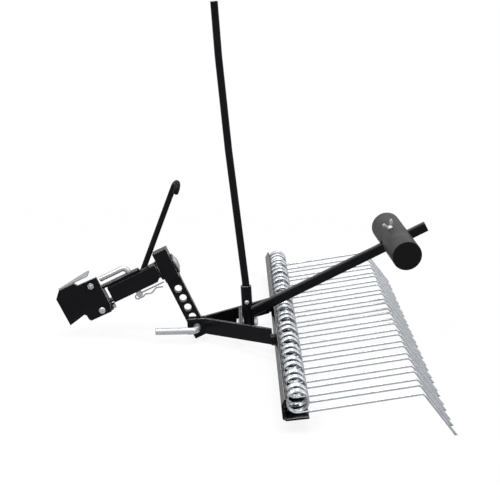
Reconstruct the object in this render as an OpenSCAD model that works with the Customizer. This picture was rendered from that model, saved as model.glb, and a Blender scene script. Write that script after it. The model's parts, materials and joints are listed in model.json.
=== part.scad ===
// Tow-behind spring-tine lawn rake with a lift lever, a sliding weight and a towing hitch.
// Rest pose: tine tips and the height bar's lowest corner on z = 0, tines to +X, hitch to -X.

/* [Tine bar] */
// Length of the folded tine bar
bar_length = 1000; // [600:10:1200]
// Sheet thickness of the tine bar
bar_t = 3.5; // [2.5:0.5:4]
// Depth of the bar's bottom flange
bar_flange = 39; // [36:1:50]
// Height of the bar's front wall up to the crease
bar_wall = 24; // [20:1:32]
// Length of the top lip above the crease
bar_lip = 12; // [8:1:18]
// Angle that the top lip leans back from the wall
bar_lip_angle = 29; // [0:1:45]
// Upward slope of the bottom flange towards the tines
bar_slope = 8.3; // [0:0.1:12]
// Height of the bar's front bottom corner above the lawn
bar_height = 17; // [14:1:40]

/* [Spring tines] */
// Number of double spring tines
spring_count = 14; // [6:1:14]
// Wire diameter of a spring tine
wire_d = 4; // [3:0.1:5]
// Outer diameter of a coil
coil_od = 36; // [30:1:40]
// Turns in each coil
coil_turns = 3; // [2:1:3]
// Gap between the turns of a coil
turn_gap = 0.5; // [0.5:0.1:1]
// Length of a tine from its coil to its bend
tine_run = 184; // [120:1:220]
// Upward angle of a tine behind its coil
tine_rise = 11; // [8:0.5:14]
// Downward angle of a tine past its bend
tine_drop = 50.3; // [40:0.1:70]
// Diameter of the bolt that clamps a spring
spring_bolt_d = 6; // [5:1:8]
// Thickness of a spring's clamp
clamp_t = 3; // [2:0.5:4]

/* [Frame] */
// Width of a frame leg, seen from the side
leg_w = 28; // [26:1:34]
// Thickness of the frame legs
leg_t = 5; // [4:0.5:6]
// Distance of the lift pivot in front of the bar's corner
pivot_reach = 134.8; // [115:1:160]
// Half the spread of the legs where they meet the bar
leg_spread = 106; // [80:1:130]
// Height on the bar's wall where the legs meet it
leg_seat = 20; // [18:0.5:22]
// Thickness of the cross plate
cross_t = 5; // [4:0.5:6]
// Distance of the cross plate behind the lift pivot
cross_reach = 75; // [60:1:85]
// Diameter of the bolt through the cross plate
cross_bolt_d = 8; // [8:1:12]

/* [Lift lever and socket] */
// Outer diameter of the lever socket
socket_od = 19; // [17:1:22]
// Height of the lever socket above the cross bolt
socket_rise = 66; // [50:1:90]
// Forward lean of the lever socket
socket_lean = 5.5; // [0:0.5:8]
// Outer diameter of the lift lever
lever_d = 13; // [11:0.5:14]
// Wall thickness of the lift lever
lever_wall = 2; // [1.5:0.5:3]
// Length of the lever's lowest stretch above its socket
lever_low = 238; // [150:1:300]
// Length of the lever's middle stretch
lever_mid = 163; // [80:1:200]
// Length of the lever's top stretch
lever_top = 93; // [60:1:140]
// Diameter of the bolt through the lever and its socket
lever_bolt_d = 5; // [5:1:8]

/* [Weight arm and weight] */
// Width of the square weight arm
arm_w = 16; // [14:0.5:18]
// Wall thickness of the weight arm
arm_wall = 2; // [1.5:0.5:3]
// Corner radius of the weight arm
arm_corner = 2.5; // [2.5:0.5:4]
// Length of the weight arm
arm_length = 340; // [300:1:360]
// Upward slope of the weight arm
arm_slope = 28.8; // [20:0.1:35]
// Diameter of the counterweight
weight_d = 52; // [46:1:60]
// Length of the counterweight
weight_length = 156; // [100:1:180]
// Distance of the counterweight up the arm
weight_reach = 282; // [260:1:290]
// Roll of the counterweight about the arm
weight_roll = 11; // [0:1:15]
// Turn of the counterweight that its loose bore allows
weight_turn = 3.5; // [0:0.5:4]
// Diameter of the wing screw
wing_d = 8; // [6:1:10]

/* [Height bar] */
// Width of the height bar, seen from the side
hbar_w = 26; // [24:1:30]
// Thickness of the height bar
hbar_t = 10; // [8:1:12]
// Forward lean of the height bar
hbar_lean = 28; // [20:0.5:35]
// Length of the height bar below the lift pivot
hbar_tail = 20; // [18:1:26]
// Diameter of the lift pin
pin_d = 12; // [10:1:12]
// Distance between the height holes
hole_pitch = 18.75; // [17:0.25:20]
// Number of height holes
hole_count = 5; // [3:1:5]
// Height of the towing axis above the lift pivot, along the bar
tow_rise = 118; // [110:1:130]
// Width of the square pivot block
block_w = 26; // [24:1:30]
// Height of the pivot block
block_h = 56; // [46:1:60]
// Diameter of the roll bolt
roll_d = 16; // [12:1:16]
// Length of the lift pin's handle
pin_handle = 72; // [50:1:90]

/* [Drawbar] */
// Width of the square drawbar
draw_w = 30; // [28:1:36]
// Wall thickness of the drawbar
draw_wall = 2; // [2:0.5:3]
// Length of the drawbar
draw_length = 93; // [85:1:120]
// Diameter of the washers at the roll bolt
washer_d = 36; // [32:1:40]
// Diameter of the hitch pin
hitch_d = 10; // [8:1:10]
// Distance of the hitch pin from the drawbar's open end
hitch_inset = 44; // [36:1:48]
// Diameter of the hook rod
hook_d = 10; // [8:1:10]
// Length of the hook rod's straight shaft
hook_length = 149.5; // [110:0.5:160]

/* [Hitch] */
// Thickness of the hitch strap
strap_t = 5; // [4:0.5:6]
// Width of the hitch strap
strap_w = 19; // [16:1:20]
// Gap between the drawbar's open end and the strap's web
strap_gap = 8; // [6:1:14]
// Thickness of the hitch side plate
side_t = 4; // [3:0.5:6]
// Length of the hitch side plate
side_length = 77; // [70:1:90]
// Gap that takes the towing vehicle's plate
clamp_gap = 12; // [8:1:14]
// Distance between the two clamp bolts
clamp_bolt_pitch = 48; // [44:1:50]
// Diameter of the clamp bolts
clamp_bolt_d = 6; // [6:1:8]

/* [Hidden] */

// Clearances and small fastener sizes that several pieces share
seat = 0.3;
hole_gap = 0.5;
washer_t = 3;
fine = 64;
function hex_af(d) = 1.5 * d + 1;
function head_h(d) = 0.65 * d;
function nut_h(d) = 0.8 * d;

// Springs: distances in the bar's own frame, a along the flange and b along the wall
coil_r = (coil_od - wire_d) / 2;
coil_a = bar_t + 2.5 + coil_od / 2;
coil_b = bar_t + seat + coil_od / 2;
wire_b = bar_t + seat + wire_d / 2;
turn_pitch = wire_d + turn_gap;
loop_half = hex_af(spring_bolt_d) / 2 + 0.5 + wire_d / 2;
tine_half = loop_half + coil_turns * turn_pitch;
loop_nose_a = bar_t + 0.5 + wire_d / 2;
spring_bolt_a = loop_nose_a + wire_d / 2 + 2.5 + spring_bolt_d / 2;
spring_pitch = bar_length / spring_count;
function spring_y(i) = (i - (spring_count + 1) / 2) * spring_pitch;
clamp_w = 2 * (loop_half - wire_d / 2 - 0.4);
clamp_b = wire_b + wire_d / 2;

// The coil's middle and the tine's points, in the side view
coil_x = coil_a * cos(bar_slope) - coil_b * sin(bar_slope);
coil_z = bar_height + coil_a * sin(bar_slope) + coil_b * cos(bar_slope);
leave_x = coil_x + coil_r * sin(tine_rise);
leave_z = coil_z - coil_r * cos(tine_rise);
bend_x = leave_x + tine_run * cos(tine_rise);
bend_z = leave_z + tine_run * sin(tine_rise);
tip_x = bend_x + bend_z / tan(tine_drop);

// Lift pivot, legs and cross plate
pivot_x = -pivot_reach;
pivot_z = hbar_tail * cos(hbar_lean) + hbar_w / 2 * sin(hbar_lean);
leg_end_x = -leg_seat * sin(bar_slope);
leg_end_z = bar_height + leg_seat * cos(bar_slope);
leg_slope = atan2(leg_end_z - pivot_z, leg_end_x - pivot_x);
leg_reach = norm([leg_end_x - pivot_x, leg_end_z - pivot_z]);
leg_nose = 17;
leg_in = hbar_t / 2 + seat;
leg_bend = hbar_w / 2 + 2;
pin_hole_d = pin_d + 2 * hole_gap;
leg_rise = leg_spread - leg_in;
leg_run = leg_reach - leg_bend;
leg_angle = atan2(leg_rise, leg_run);
function leg_inner_y(x) = leg_in + (x - leg_bend) * tan(leg_angle);

// Cross bolt stack, from the plate's rear face backwards
cross_x = pivot_x + cross_reach * cos(leg_slope);
cross_z = pivot_z + cross_reach * sin(leg_slope);
socket_flat = 14.4;
tab_t = 3.5;
stack_socket = cross_t + washer_t;
stack_tab = stack_socket + socket_flat;
stack_nut = stack_tab + tab_t;
socket_x = stack_socket + socket_flat / 2;
socket_foot = 12;
front_flat = leg_w / 2 + 1;
rear_flat = 34;
socket_id = lever_d + 1;
lever_depth = 42;
lever_bolt_drop = 28;
lever_bolt_rise = socket_rise - lever_bolt_drop;
lever_foot = 4;
lever_lean_low = 9.2;
lever_lean_mid = 8;
lever_lean_top = 6.5;

// Weight arm, measured from the cross bolt
arm_up = 18.5;
arm_x = cross_x + (stack_tab + tab_t / 2) * cos(leg_slope) - arm_up * sin(leg_slope);
arm_z = cross_z + (stack_tab + tab_t / 2) * sin(leg_slope) + arm_up * cos(leg_slope);
weight_bore = arm_w * sqrt(2) - 2 * arm_corner * (sqrt(2) - 1) + 1.4 + weight_d * tan(weight_turn);
wing_hub = 5;

// Towing axis stack, along the drawbar with the block's middle at zero
block_low = tow_rise - 23;
flange_t = 4;
draw_rear = -block_w / 2 - flange_t;
draw_front = draw_rear - draw_length;
hitch_u = draw_front + hitch_inset;
draw_top = tow_rise + draw_w / 2;
draw_bottom = tow_rise - draw_w / 2;
web_u = draw_front - strap_gap;
tongue_low = draw_bottom + draw_wall + seat;
tongue_high = draw_top + seat;
tongue_rear = hitch_u + 19.2;
web_low = draw_bottom - 11;
clip_v = draw_bottom - 7;
clip_d = 2.5;
clip_hole = 3.2;
hitch_hole = hitch_d + 2 * hole_gap;
pin_foot = draw_bottom - 12.4;
pin_bend = draw_top + 17;
pin_turn = 9;
pin_grip = 51;
roll_nut_h = 4;
hook_angle = 43.6;
hook_turn = 12;

// Hitch bracket, in the same frame
side_y = -strap_w / 2 - 5.5;
bracket_u = web_u - strap_t;
clamp_bolt_u = bracket_u - 12.8;
clamp_bolt_lean = 2.2;
clamp_bolt_v = tow_rise - 17.4;
strap_bolt_v = draw_bottom - 6;
clamp_y = side_y + side_t + clamp_gap;

// Middle of the whole rake in the side view, which becomes the origin
nose_u = 0.8;
nose_v = 35.8;
plate_rise = 48.1;
front_u = bracket_u - side_length + nose_u;
front_v = tow_rise + nose_v;
reach_front = pivot_x + front_u * cos(hbar_lean) - front_v * sin(hbar_lean);
reach_rear = max(arm_x + arm_length * cos(arm_slope) + arm_w / 2 * sin(arm_slope),
                 tip_x + wire_d / 2 / sin(tine_drop));
middle_x = (reach_front + reach_rear) / 2;

zinc = [0.74, 0.76, 0.78];
gloss_black = [0.09, 0.09, 0.10];
dark_grey = [0.30, 0.30, 0.31];
pale_grey = [0.62, 0.63, 0.64];

// Places
module placed() { translate([-middle_x, 0, 0]) children(); }
module on_bar() { placed() translate([0, 0, bar_height]) rotate([0, -bar_slope, 0]) children(); }
module on_leg() { placed() translate([pivot_x, 0, pivot_z]) rotate([0, -leg_slope, 0]) children(); }
module on_cross() { on_leg() translate([cross_reach, 0, 0]) children(); }
module on_socket() { on_cross() translate([socket_x, 0, 0]) rotate([0, leg_slope - socket_lean, 0]) children(); }
module on_arm() { placed() translate([arm_x, 0, arm_z]) rotate([0, -arm_slope, 0]) children(); }
module on_unit() { placed() translate([pivot_x, 0, pivot_z]) rotate([0, -hbar_lean, 0]) children(); }
module each_spring() { for (i = [1 : spring_count]) translate([0, spring_y(i), 0]) children(); }

// Plain shapes
module block(x0, x1, y0, y1, z0, z1) { translate([x0, y0, z0]) cube([x1 - x0, y1 - y0, z1 - z0]); }
module rod_z(d, z0, z1) { translate([0, 0, z0]) cylinder(d = d, h = z1 - z0, $fn = fine); }
module rod_x(d, x0, x1) { translate([x0, 0, 0]) rotate([0, 90, 0]) cylinder(d = d, h = x1 - x0, $fn = fine); }
module rod_y(d, y0, y1) { translate([0, y0, 0]) rotate([-90, 0, 0]) cylinder(d = d, h = y1 - y0, $fn = fine); }
module hex_prism(af, z0, z1) {
  translate([0, 0, z0]) rotate([0, 0, 30]) cylinder(d = af / cos(30), h = z1 - z0, $fn = 6);
}
// Bolt along z with its head's seat at zero, the shank below it
module hex_bolt(d, length) {
  hex_prism(hex_af(d), 0, head_h(d));
  rod_z(d, -length, 0.5);
}
// Nut along z, its seat at zero and the nut below it
module hex_nut(d) {
  difference() {
    hex_prism(hex_af(d), -nut_h(d), 0);
    rod_z(d + 0.3, -nut_h(d) - 1, 1);
  }
}
module ring(od, id, z0, z1) {
  difference() {
    rod_z(od, z0, z1);
    rod_z(id, z0 - 1, z1 + 1);
  }
}
// Quarter or part bend of a round rod in the x-z plane, from +x turning up by the angle
module rod_bend(d, r, angle) {
  translate([0, 0, r]) rotate([90, 0, 0]) rotate([0, 0, -90])
    rotate_extrude(angle = angle, $fn = fine) translate([r, 0]) circle(d = d, $fn = 32);
}

// Rings of points along a path, which a rod or a tube is skinned over
function unit(v) = v / norm(v);
function ring_of(p, heading, side, d, sides) =
  let (e1 = unit(side - heading * (heading * side)), e2 = cross(heading, e1))
  [for (j = [0 : sides - 1]) p + d / 2 * (cos(360 * j / sides) * e1 + sin(360 * j / sides) * e2)];
// Slides a ring's points along its heading to a level plane
function level_ring(points, heading, z) = [for (p = points) p - heading * ((p[2] - z) / heading[2])];
function flat_points(rings) = [for (r = rings) each r];
function skin(count, sides) = [for (k = [0 : count - 2], j = [0 : sides - 1])
  let (n = (j + 1) % sides, s = k * sides, t = s + sides)
  each [[s + j, t + j, t + n], [s + j, t + n, s + n]]];
function rod_faces(count, sides) = concat(
  [for (j = [1 : sides - 2]) [0, j, j + 1]],
  skin(count, sides),
  [for (j = [1 : sides - 2]) let (s = (count - 1) * sides) [s, s + j + 1, s + j]]);
// A tube's outer rings come first, then its inner ones
function tube_faces(count, sides) =
  let (inner = count * sides, last = (count - 1) * sides)
  concat(
    skin(count, sides),
    [for (f = skin(count, sides)) [f[0] + inner, f[2] + inner, f[1] + inner]],
    [for (j = [0 : sides - 1]) let (n = (j + 1) % sides)
      each [[j, n, n + inner], [j, n + inner, j + inner]]],
    [for (j = [0 : sides - 1]) let (n = (j + 1) % sides)
      each [[last + j, last + n + inner, last + n], [last + j, last + j + inner, last + n + inner]]]);

// Tine bar
module tine_bar() {
  lip_x = bar_lip * sin(bar_lip_angle);
  lip_z = bar_lip * cos(bar_lip_angle);
  thick_x = bar_t * cos(bar_lip_angle);
  thick_z = bar_t * sin(bar_lip_angle);
  inner_z = bar_wall - bar_t * tan(bar_lip_angle / 2);
  color(gloss_black) on_bar() difference() {
    translate([0, bar_length / 2, 0]) rotate([90, 0, 0]) linear_extrude(bar_length)
      polygon([[0, 0], [bar_flange, 0], [bar_flange, bar_t], [bar_t, bar_t], [bar_t, inner_z],
               [lip_x + thick_x, bar_wall + lip_z - thick_z], [lip_x, bar_wall + lip_z], [0, bar_wall]]);
    each_spring() translate([spring_bolt_a, 0, 0]) rod_z(spring_bolt_d + 2 * hole_gap, -1, bar_t + 1);
  }
}

// Spring tines: one wire from tip to coil, round the clamp bolt and back, as rings of six points
wire_sides = 6;
turn_steps = 7;
coil_steps = coil_turns * turn_steps;
coil_sweep = coil_turns * 360 + tine_rise - bar_slope;
function bar_point(a, y, b) =
  [a * cos(bar_slope) - b * sin(bar_slope), y, bar_height + a * sin(bar_slope) + b * cos(bar_slope)];
function coil_angle(k) = -90 + tine_rise - coil_sweep * k / coil_steps;
function coil_point(k) =
  [coil_x + coil_r * cos(coil_angle(k)), -tine_half + coil_turns * turn_pitch * k / coil_steps,
   coil_z + coil_r * sin(coil_angle(k))];
function coil_heading(k) = unit([sin(coil_angle(k)), turn_pitch / (2 * PI * coil_r), -cos(coil_angle(k))]);
tine_back = [-cos(tine_rise), 0, -sin(tine_rise)];
tip_up = [-cos(tine_drop), 0, sin(tine_drop)];
bend_cut = 5;
tine_bend = [bend_x, -tine_half, bend_z];
// Each entry is a ring's middle, its heading and its second axis
half_path = concat(
  [[[tip_x, -tine_half, 0], tip_up]],
  [[tine_bend - bend_cut * tip_up, unit(tip_up * 3 + tine_back)]],
  [[tine_bend + bend_cut * tine_back, unit(tip_up + tine_back * 3)]],
  [for (k = [0 : coil_steps]) [coil_point(k), coil_heading(k)]],
  [[bar_point(loop_nose_a + loop_half * 0.5, -loop_half * 0.87, wire_b),
    unit(bar_point(-2, 1, 0) - bar_point(0, 0, 0))]]);
nose_point = bar_point(loop_nose_a, 0, wire_b);
nose_ring = ring_of(nose_point, [0, 1, 0], bar_point(1, 0, 0) - bar_point(0, 0, 0), wire_d, wire_sides);
half_rings = [for (i = [0 : len(half_path) - 1])
  let (ring = ring_of(half_path[i][0], half_path[i][1], [0, 1, 0], wire_d, wire_sides))
  i == 0 ? level_ring(ring, half_path[i][1], 0) : ring];
function mirrored(points) = [for (p = points) [p[0], -p[1], p[2]]];
wire_rings = concat(half_rings, [nose_ring],
  [for (i = [len(half_rings) - 1 : -1 : 0]) mirrored(half_rings[i])]);
// Least gap between points of turns that lie one step or more apart
wire_gap = min([for (k = [3 : len(half_rings) - turn_steps], m = [k + turn_steps - 1 : k + turn_steps + 1])
  if (m < len(half_rings)) for (p = half_rings[k], q = half_rings[m]) norm(p - q)]);
echo(least_gap_between_turns = wire_gap);

module spring(i) {
  color(zinc) placed() translate([0, spring_y(i), 0])
    polyhedron(points = flat_points(wire_rings), faces = rod_faces(len(wire_rings), wire_sides), convexity = 10);
}

// Clamp over each spring's middle loop, with a foot on the flange between the coils
module spring_clamps() {
  clamp_rear = coil_a + 2;
  color(gloss_black) on_bar() each_spring() difference() {
    union() {
      block(bar_t + 0.5, clamp_rear, -clamp_w / 2, clamp_w / 2, clamp_b, clamp_b + clamp_t);
      block(clamp_rear - clamp_t, clamp_rear, -clamp_w / 2, clamp_w / 2, bar_t, clamp_b + 1);
    }
    translate([spring_bolt_a, 0, 0]) rod_z(spring_bolt_d + 2 * hole_gap, 0, clamp_b + clamp_t + 1);
  }
}
module spring_bolts() {
  length = clamp_b + clamp_t + nut_h(spring_bolt_d) + 1;
  color(zinc) on_bar() each_spring() translate([spring_bolt_a, 0, clamp_b + clamp_t])
    rotate([0, 0, 90]) hex_bolt(spring_bolt_d, length);
}
module spring_nuts() {
  color(zinc) on_bar() each_spring() translate([spring_bolt_a, 0, 0]) hex_nut(spring_bolt_d);
}

// Frame leg on the -Y side: parallel beside the height bar, then splayed to the tine bar
module frame_leg() {
  wall_gap = 2.5;
  slant = leg_t / cos(leg_angle);
  end_x = leg_reach - wall_gap;
  color(gloss_black) difference() {
    union() {
      on_leg() translate([0, 0, -leg_w / 2]) linear_extrude(leg_w)
        polygon([[-leg_nose, -leg_in], [leg_bend, -leg_in], [end_x, -leg_inner_y(end_x)],
                 [end_x, -leg_inner_y(end_x) - slant],
                 [leg_bend - leg_t * tan(leg_angle / 2), -leg_in - leg_t], [-leg_nose, -leg_in - leg_t]]);
      on_bar() block(-leg_t, 0, -leg_spread - 16, -leg_spread + 3, leg_seat - 11.5, leg_seat + 4);
    }
    on_leg() rod_y(pin_hole_d, -leg_in - leg_t - 1, 0);
  }
}
module frame_leg_right() { frame_leg(); }
module frame_leg_left() { mirror([0, 1, 0]) frame_leg(); }

// Plate across the legs, which carries the lever and the weight arm
module cross_plate() {
  front_y = leg_inner_y(cross_reach);
  rear_y = leg_inner_y(cross_reach + cross_t);
  color(gloss_black) on_cross() difference() {
    translate([0, 0, -leg_w / 2 + 1]) linear_extrude(leg_w - 2)
      polygon([[0, -front_y], [cross_t, -rear_y], [cross_t, rear_y], [0, front_y]]);
    rod_x(cross_bolt_d + 2 * hole_gap, -1, cross_t + 1);
  }
}
module cross_bolt() {
  color(zinc) on_cross() rotate([0, -90, 0])
    hex_bolt(cross_bolt_d, stack_nut + nut_h(cross_bolt_d) + 0.5);
}
module cross_washer() {
  color(zinc) on_cross() rotate([0, 90, 0])
    ring(18, cross_bolt_d + 2 * hole_gap, cross_t, stack_socket);
}
module cross_nut() {
  color(zinc) on_cross() translate([stack_nut, 0, 0]) rotate([0, -90, 0]) hex_nut(cross_bolt_d);
}

// Lever socket: a round tube, pressed flat front and rear at its foot
module lever_socket() {
  color(gloss_black) difference() {
    intersection() {
      on_socket() rod_z(socket_od, -socket_foot - 3, socket_rise);
      on_cross() union() {
        block(stack_socket, stack_tab, -socket_od, socket_od, -socket_foot, front_flat);
        block(-socket_rise, stack_tab, -socket_od, socket_od, front_flat, rear_flat);
        block(-socket_rise, 2 * stack_tab, -socket_od, socket_od, rear_flat, socket_rise + 10);
      }
    }
    on_socket() rod_z(socket_id, socket_rise - lever_depth - 2, socket_rise + 5);
    on_socket() translate([0, 0, lever_bolt_rise]) rod_y(lever_bolt_d + 2 * hole_gap, -socket_od, socket_od);
    on_cross() rod_x(cross_bolt_d + 2 * hole_gap, 0, 2 * stack_tab);
  }
}

// Lift lever: a tube with slight bends, in the socket's frame
lever_sides = 24;
function lean_heading(lean) = [-sin(lean - socket_lean), 0, cos(lean - socket_lean)];
lever_headings = [lean_heading(socket_lean), lean_heading(lever_lean_low), lean_heading(lever_lean_mid),
  lean_heading(lever_lean_top)];
lever_start = [0, 0, socket_rise - lever_depth];
lever_bend_low = [0, 0, socket_rise + lever_foot];
lever_bend_mid = lever_bend_low + lever_low * lever_headings[1];
lever_bend_top = lever_bend_mid + lever_mid * lever_headings[2];
lever_end = lever_bend_top + lever_top * lever_headings[3];
function lever_rings(d) = [
  ring_of(lever_start, lever_headings[0], [0, 1, 0], d, lever_sides),
  ring_of(lever_bend_low, unit(lever_headings[0] + lever_headings[1]), [0, 1, 0], d, lever_sides),
  ring_of(lever_bend_mid, unit(lever_headings[1] + lever_headings[2]), [0, 1, 0], d, lever_sides),
  ring_of(lever_bend_top, unit(lever_headings[2] + lever_headings[3]), [0, 1, 0], d, lever_sides),
  ring_of(lever_end, lever_headings[3], [0, 1, 0], d, lever_sides)];
module lever() {
  outer = lever_rings(lever_d);
  inner = lever_rings(lever_d - 2 * lever_wall);
  color(gloss_black) on_socket()
    polyhedron(points = concat(flat_points(outer), flat_points(inner)),
               faces = tube_faces(len(outer), lever_sides), convexity = 6);
}
module lever_bolt() {
  head_d = 1.6 * lever_bolt_d;
  color(zinc) on_socket() translate([0, 0, lever_bolt_rise]) {
    rod_y(lever_bolt_d, -socket_od / 2 - 1, socket_od / 2 + nut_h(lever_bolt_d) + 1);
    rod_y(head_d, -socket_od / 2 - head_h(lever_bolt_d), -socket_od / 2);
  }
}
module lever_nut() {
  color(zinc) on_socket() translate([0, socket_od / 2, lever_bolt_rise]) rotate([90, 0, 0]) hex_nut(lever_bolt_d);
}

// Weight arm: a square tube with a flat tab down to the cross bolt
module square_bar(w, r, x0, x1) {
  translate([x0, 0, 0]) rotate([90, 0, 90]) linear_extrude(x1 - x0) {
    square([w - 2 * r, w], center = true);
    square([w, w - 2 * r], center = true);
    for (sx = [-1, 1], sy = [-1, 1]) translate([sx * (w / 2 - r), sy * (w / 2 - r)]) circle(r = r, $fn = 32);
  }
}
module weight_arm() {
  tab_foot = -13;
  color(gloss_black) difference() {
    union() {
      on_arm() square_bar(arm_w, arm_corner, 0, arm_length);
      on_cross() block(stack_tab, stack_tab + tab_t, -arm_w / 2, arm_w / 2, tab_foot, arm_up + 4);
    }
    on_arm() square_bar(arm_w - 2 * arm_wall, arm_corner - arm_wall + 0.3, 14, arm_length + 1);
    on_cross() block(-10, stack_tab, -arm_w, arm_w, tab_foot - 1, arm_up + arm_w);
    on_cross() rod_x(cross_bolt_d + 2 * hole_gap, stack_tab - 1, stack_nut + 1);
  }
}

// Counterweight with a round bore for the arm and a thread for the wing screw
module on_weight() { on_arm() translate([weight_reach, 0, 0]) rotate([weight_roll, 0, 0])
  rotate([0, 0, weight_turn]) children(); }
module counterweight() {
  chamfer = 1;
  half = weight_length / 2;
  radius = weight_d / 2;
  color(dark_grey) on_weight() difference() {
    rotate([90, 0, 0]) rotate_extrude($fn = 96)
      polygon([[0, -half], [radius - chamfer, -half], [radius, -half + chamfer],
               [radius, half - chamfer], [radius - chamfer, half], [0, half]]);
    rod_x(weight_bore, -weight_d, weight_d);
    rod_z(wing_d + 0.4, 0, weight_d);
  }
}
module wing_screw() {
  top = weight_d / 2 + 0.5;
  start = arm_w / 2 / cos(weight_roll) + wing_d / 2 * tan(weight_roll) + 0.2;
  wing_w = 20;
  wing_h = 14;
  wing_t = 3;
  wing_turn = 12;
  color(zinc) on_weight() {
    rod_z(wing_d, start, top + 1);
    rod_z(1.3 * wing_d, top, top + wing_hub);
    translate([0, 0, top]) rotate([90, 0, wing_turn]) translate([0, 0, -wing_t / 2]) linear_extrude(wing_t)
      for (side = [-1, 1]) polygon([[side * 2, 1], [side * wing_w * 0.28, 3], [side * wing_w / 2, wing_h * 0.65],
               [side * wing_w * 0.48, wing_h], [side * wing_w * 0.3, wing_h], [side * 2, wing_h * 0.45]]);
  }
}

// Height bar with its row of holes, and the pivot block on top of it
module height_bar() {
  color(gloss_black) on_unit() difference() {
    block(-hbar_w / 2, hbar_w / 2, -hbar_t / 2, hbar_t / 2, -hbar_tail, block_low + 5);
    for (i = [0 : hole_count - 1]) translate([0, 0, i * hole_pitch])
      rod_y(pin_hole_d, -hbar_t, hbar_t);
  }
}
module pivot_block() {
  color(gloss_black) on_unit() difference() {
    block(-block_w / 2, block_w / 2, -block_w / 2, block_w / 2, block_low, block_low + block_h);
    block(-block_w, block_w, -hbar_t / 2, hbar_t / 2, block_low - 1, block_low + 5);
    translate([0, 0, tow_rise]) rod_x(roll_d + 2 * 0.3, -block_w, block_w);
  }
}
// Lift pin: a cranked rod through the legs and the height bar
module lift_pin() {
  elbow_y = -leg_in - leg_t - 29;
  tip_y = leg_in + leg_t + 8;
  crank = 13;
  dip = 3;
  color(zinc) on_leg() rotate([0, leg_slope - dip, 0]) {
    rod_y(pin_d, elbow_y + crank, tip_y);
    translate([-crank, elbow_y + crank, 0]) rotate_extrude(angle = -90, $fn = fine)
      translate([crank, 0]) circle(d = pin_d, $fn = 32);
    translate([0, elbow_y, 0]) rod_x(pin_d, -pin_handle, -crank);
  }
}

// Roll joint
module on_tow() { on_unit() translate([0, 0, tow_rise]) children(); }
module roll_washer_front() {
  color(gloss_black) on_tow() rotate([0, 90, 0])
    ring(washer_d, roll_d + 2 * 0.3, draw_rear, -block_w / 2 - 0.2);
}
module roll_washer_rear() {
  color(gloss_black) on_tow() rotate([0, 90, 0])
    ring(washer_d, roll_d + 2 * 0.3, block_w / 2 + 0.2, block_w / 2 + 0.2 + washer_t);
}
module roll_nut() {
  color(zinc) on_tow() translate([block_w / 2 + 0.2 + washer_t, 0, 0]) rotate([0, -90, 0])
    ring(hex_af(roll_d) + 2, roll_d + 0.3, -roll_nut_h, 0);
}
module roll_bolt() {
  head = 8;
  color(zinc) on_tow() {
    rod_x(roll_d, draw_rear, block_w / 2 + washer_t + roll_nut_h + 0.5);
    rod_x(draw_w - 2 * draw_wall - 1, draw_rear - head, draw_rear);
  }
}

// Drawbar: a square tube with a cut lower rear corner
module drawbar() {
  cut_u = 10;
  cut_v = 8;
  color(gloss_black) on_tow() difference() {
    square_bar(draw_w, draw_wall, draw_front, draw_rear);
    square_bar(draw_w - 2 * draw_wall, 0.6, draw_front - 1, draw_rear + 1);
    translate([draw_rear, 0, -draw_w / 2]) rotate([90, 0, 0]) translate([0, 0, -draw_w])
      linear_extrude(2 * draw_w) polygon([[-cut_u, -1], [1, -1], [1, cut_v], [0, cut_v]]);
    translate([hitch_u, 0, 0]) rod_z(hitch_hole, -draw_w, draw_w);
  }
}
// Hook rod: a straight shaft from the drawbar's top and a crook at its end, turned to the side
hook_sides = 16;
crook_sweep = 165;
crook_step = 15;
crook_side = 105;
hook_heading = [cos(hook_angle), 0, sin(hook_angle)];
hook_turn_to = [-sin(hook_angle) * cos(crook_side), -sin(crook_side), cos(hook_angle) * cos(crook_side)];
hook_seat = 19.4;
hook_base = [draw_rear - hook_seat, 0, draw_w / 2 + hook_d / 2 - 2];
crook_middle = hook_base + hook_length * hook_heading + hook_turn * hook_turn_to;
function crook_heading(a) = cos(a) * hook_heading + sin(a) * hook_turn_to;
function crook_point(a) = crook_middle + hook_turn * (sin(a) * hook_heading - cos(a) * hook_turn_to);
module hook_rod() {
  normal = cross(hook_heading, hook_turn_to);
  tail = crook_heading(crook_sweep);
  rings = concat(
    [level_ring(ring_of(hook_base, hook_heading, normal, hook_d, hook_sides), hook_heading, draw_w / 2)],
    [for (a = [0 : crook_step : crook_sweep])
      ring_of(crook_point(a), crook_heading(a), normal, hook_d, hook_sides)],
    [ring_of(crook_point(crook_sweep) + 9 * tail, tail, normal, hook_d, hook_sides)]);
  color(gloss_black) on_tow()
    polyhedron(points = flat_points(rings), faces = rod_faces(len(rings), hook_sides), convexity = 6);
}
// Hitch pin with its cranked handle and a cross hole for the clip
module hitch_pin() {
  color(zinc) on_unit() difference() {
    translate([hitch_u, 0, 0]) {
      rod_z(hitch_d, pin_foot, pin_bend - pin_turn);
      translate([-pin_turn, 0, pin_bend - pin_turn]) rotate([90, 0, 0])
        rotate_extrude(angle = 90, $fn = fine) translate([pin_turn, 0]) circle(d = hitch_d, $fn = 32);
      translate([0, 0, pin_bend]) rod_x(hitch_d, -pin_grip, -pin_turn);
    }
    translate([hitch_u, 0, clip_v]) rod_x(clip_hole, -hitch_d, hitch_d);
  }
}
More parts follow.
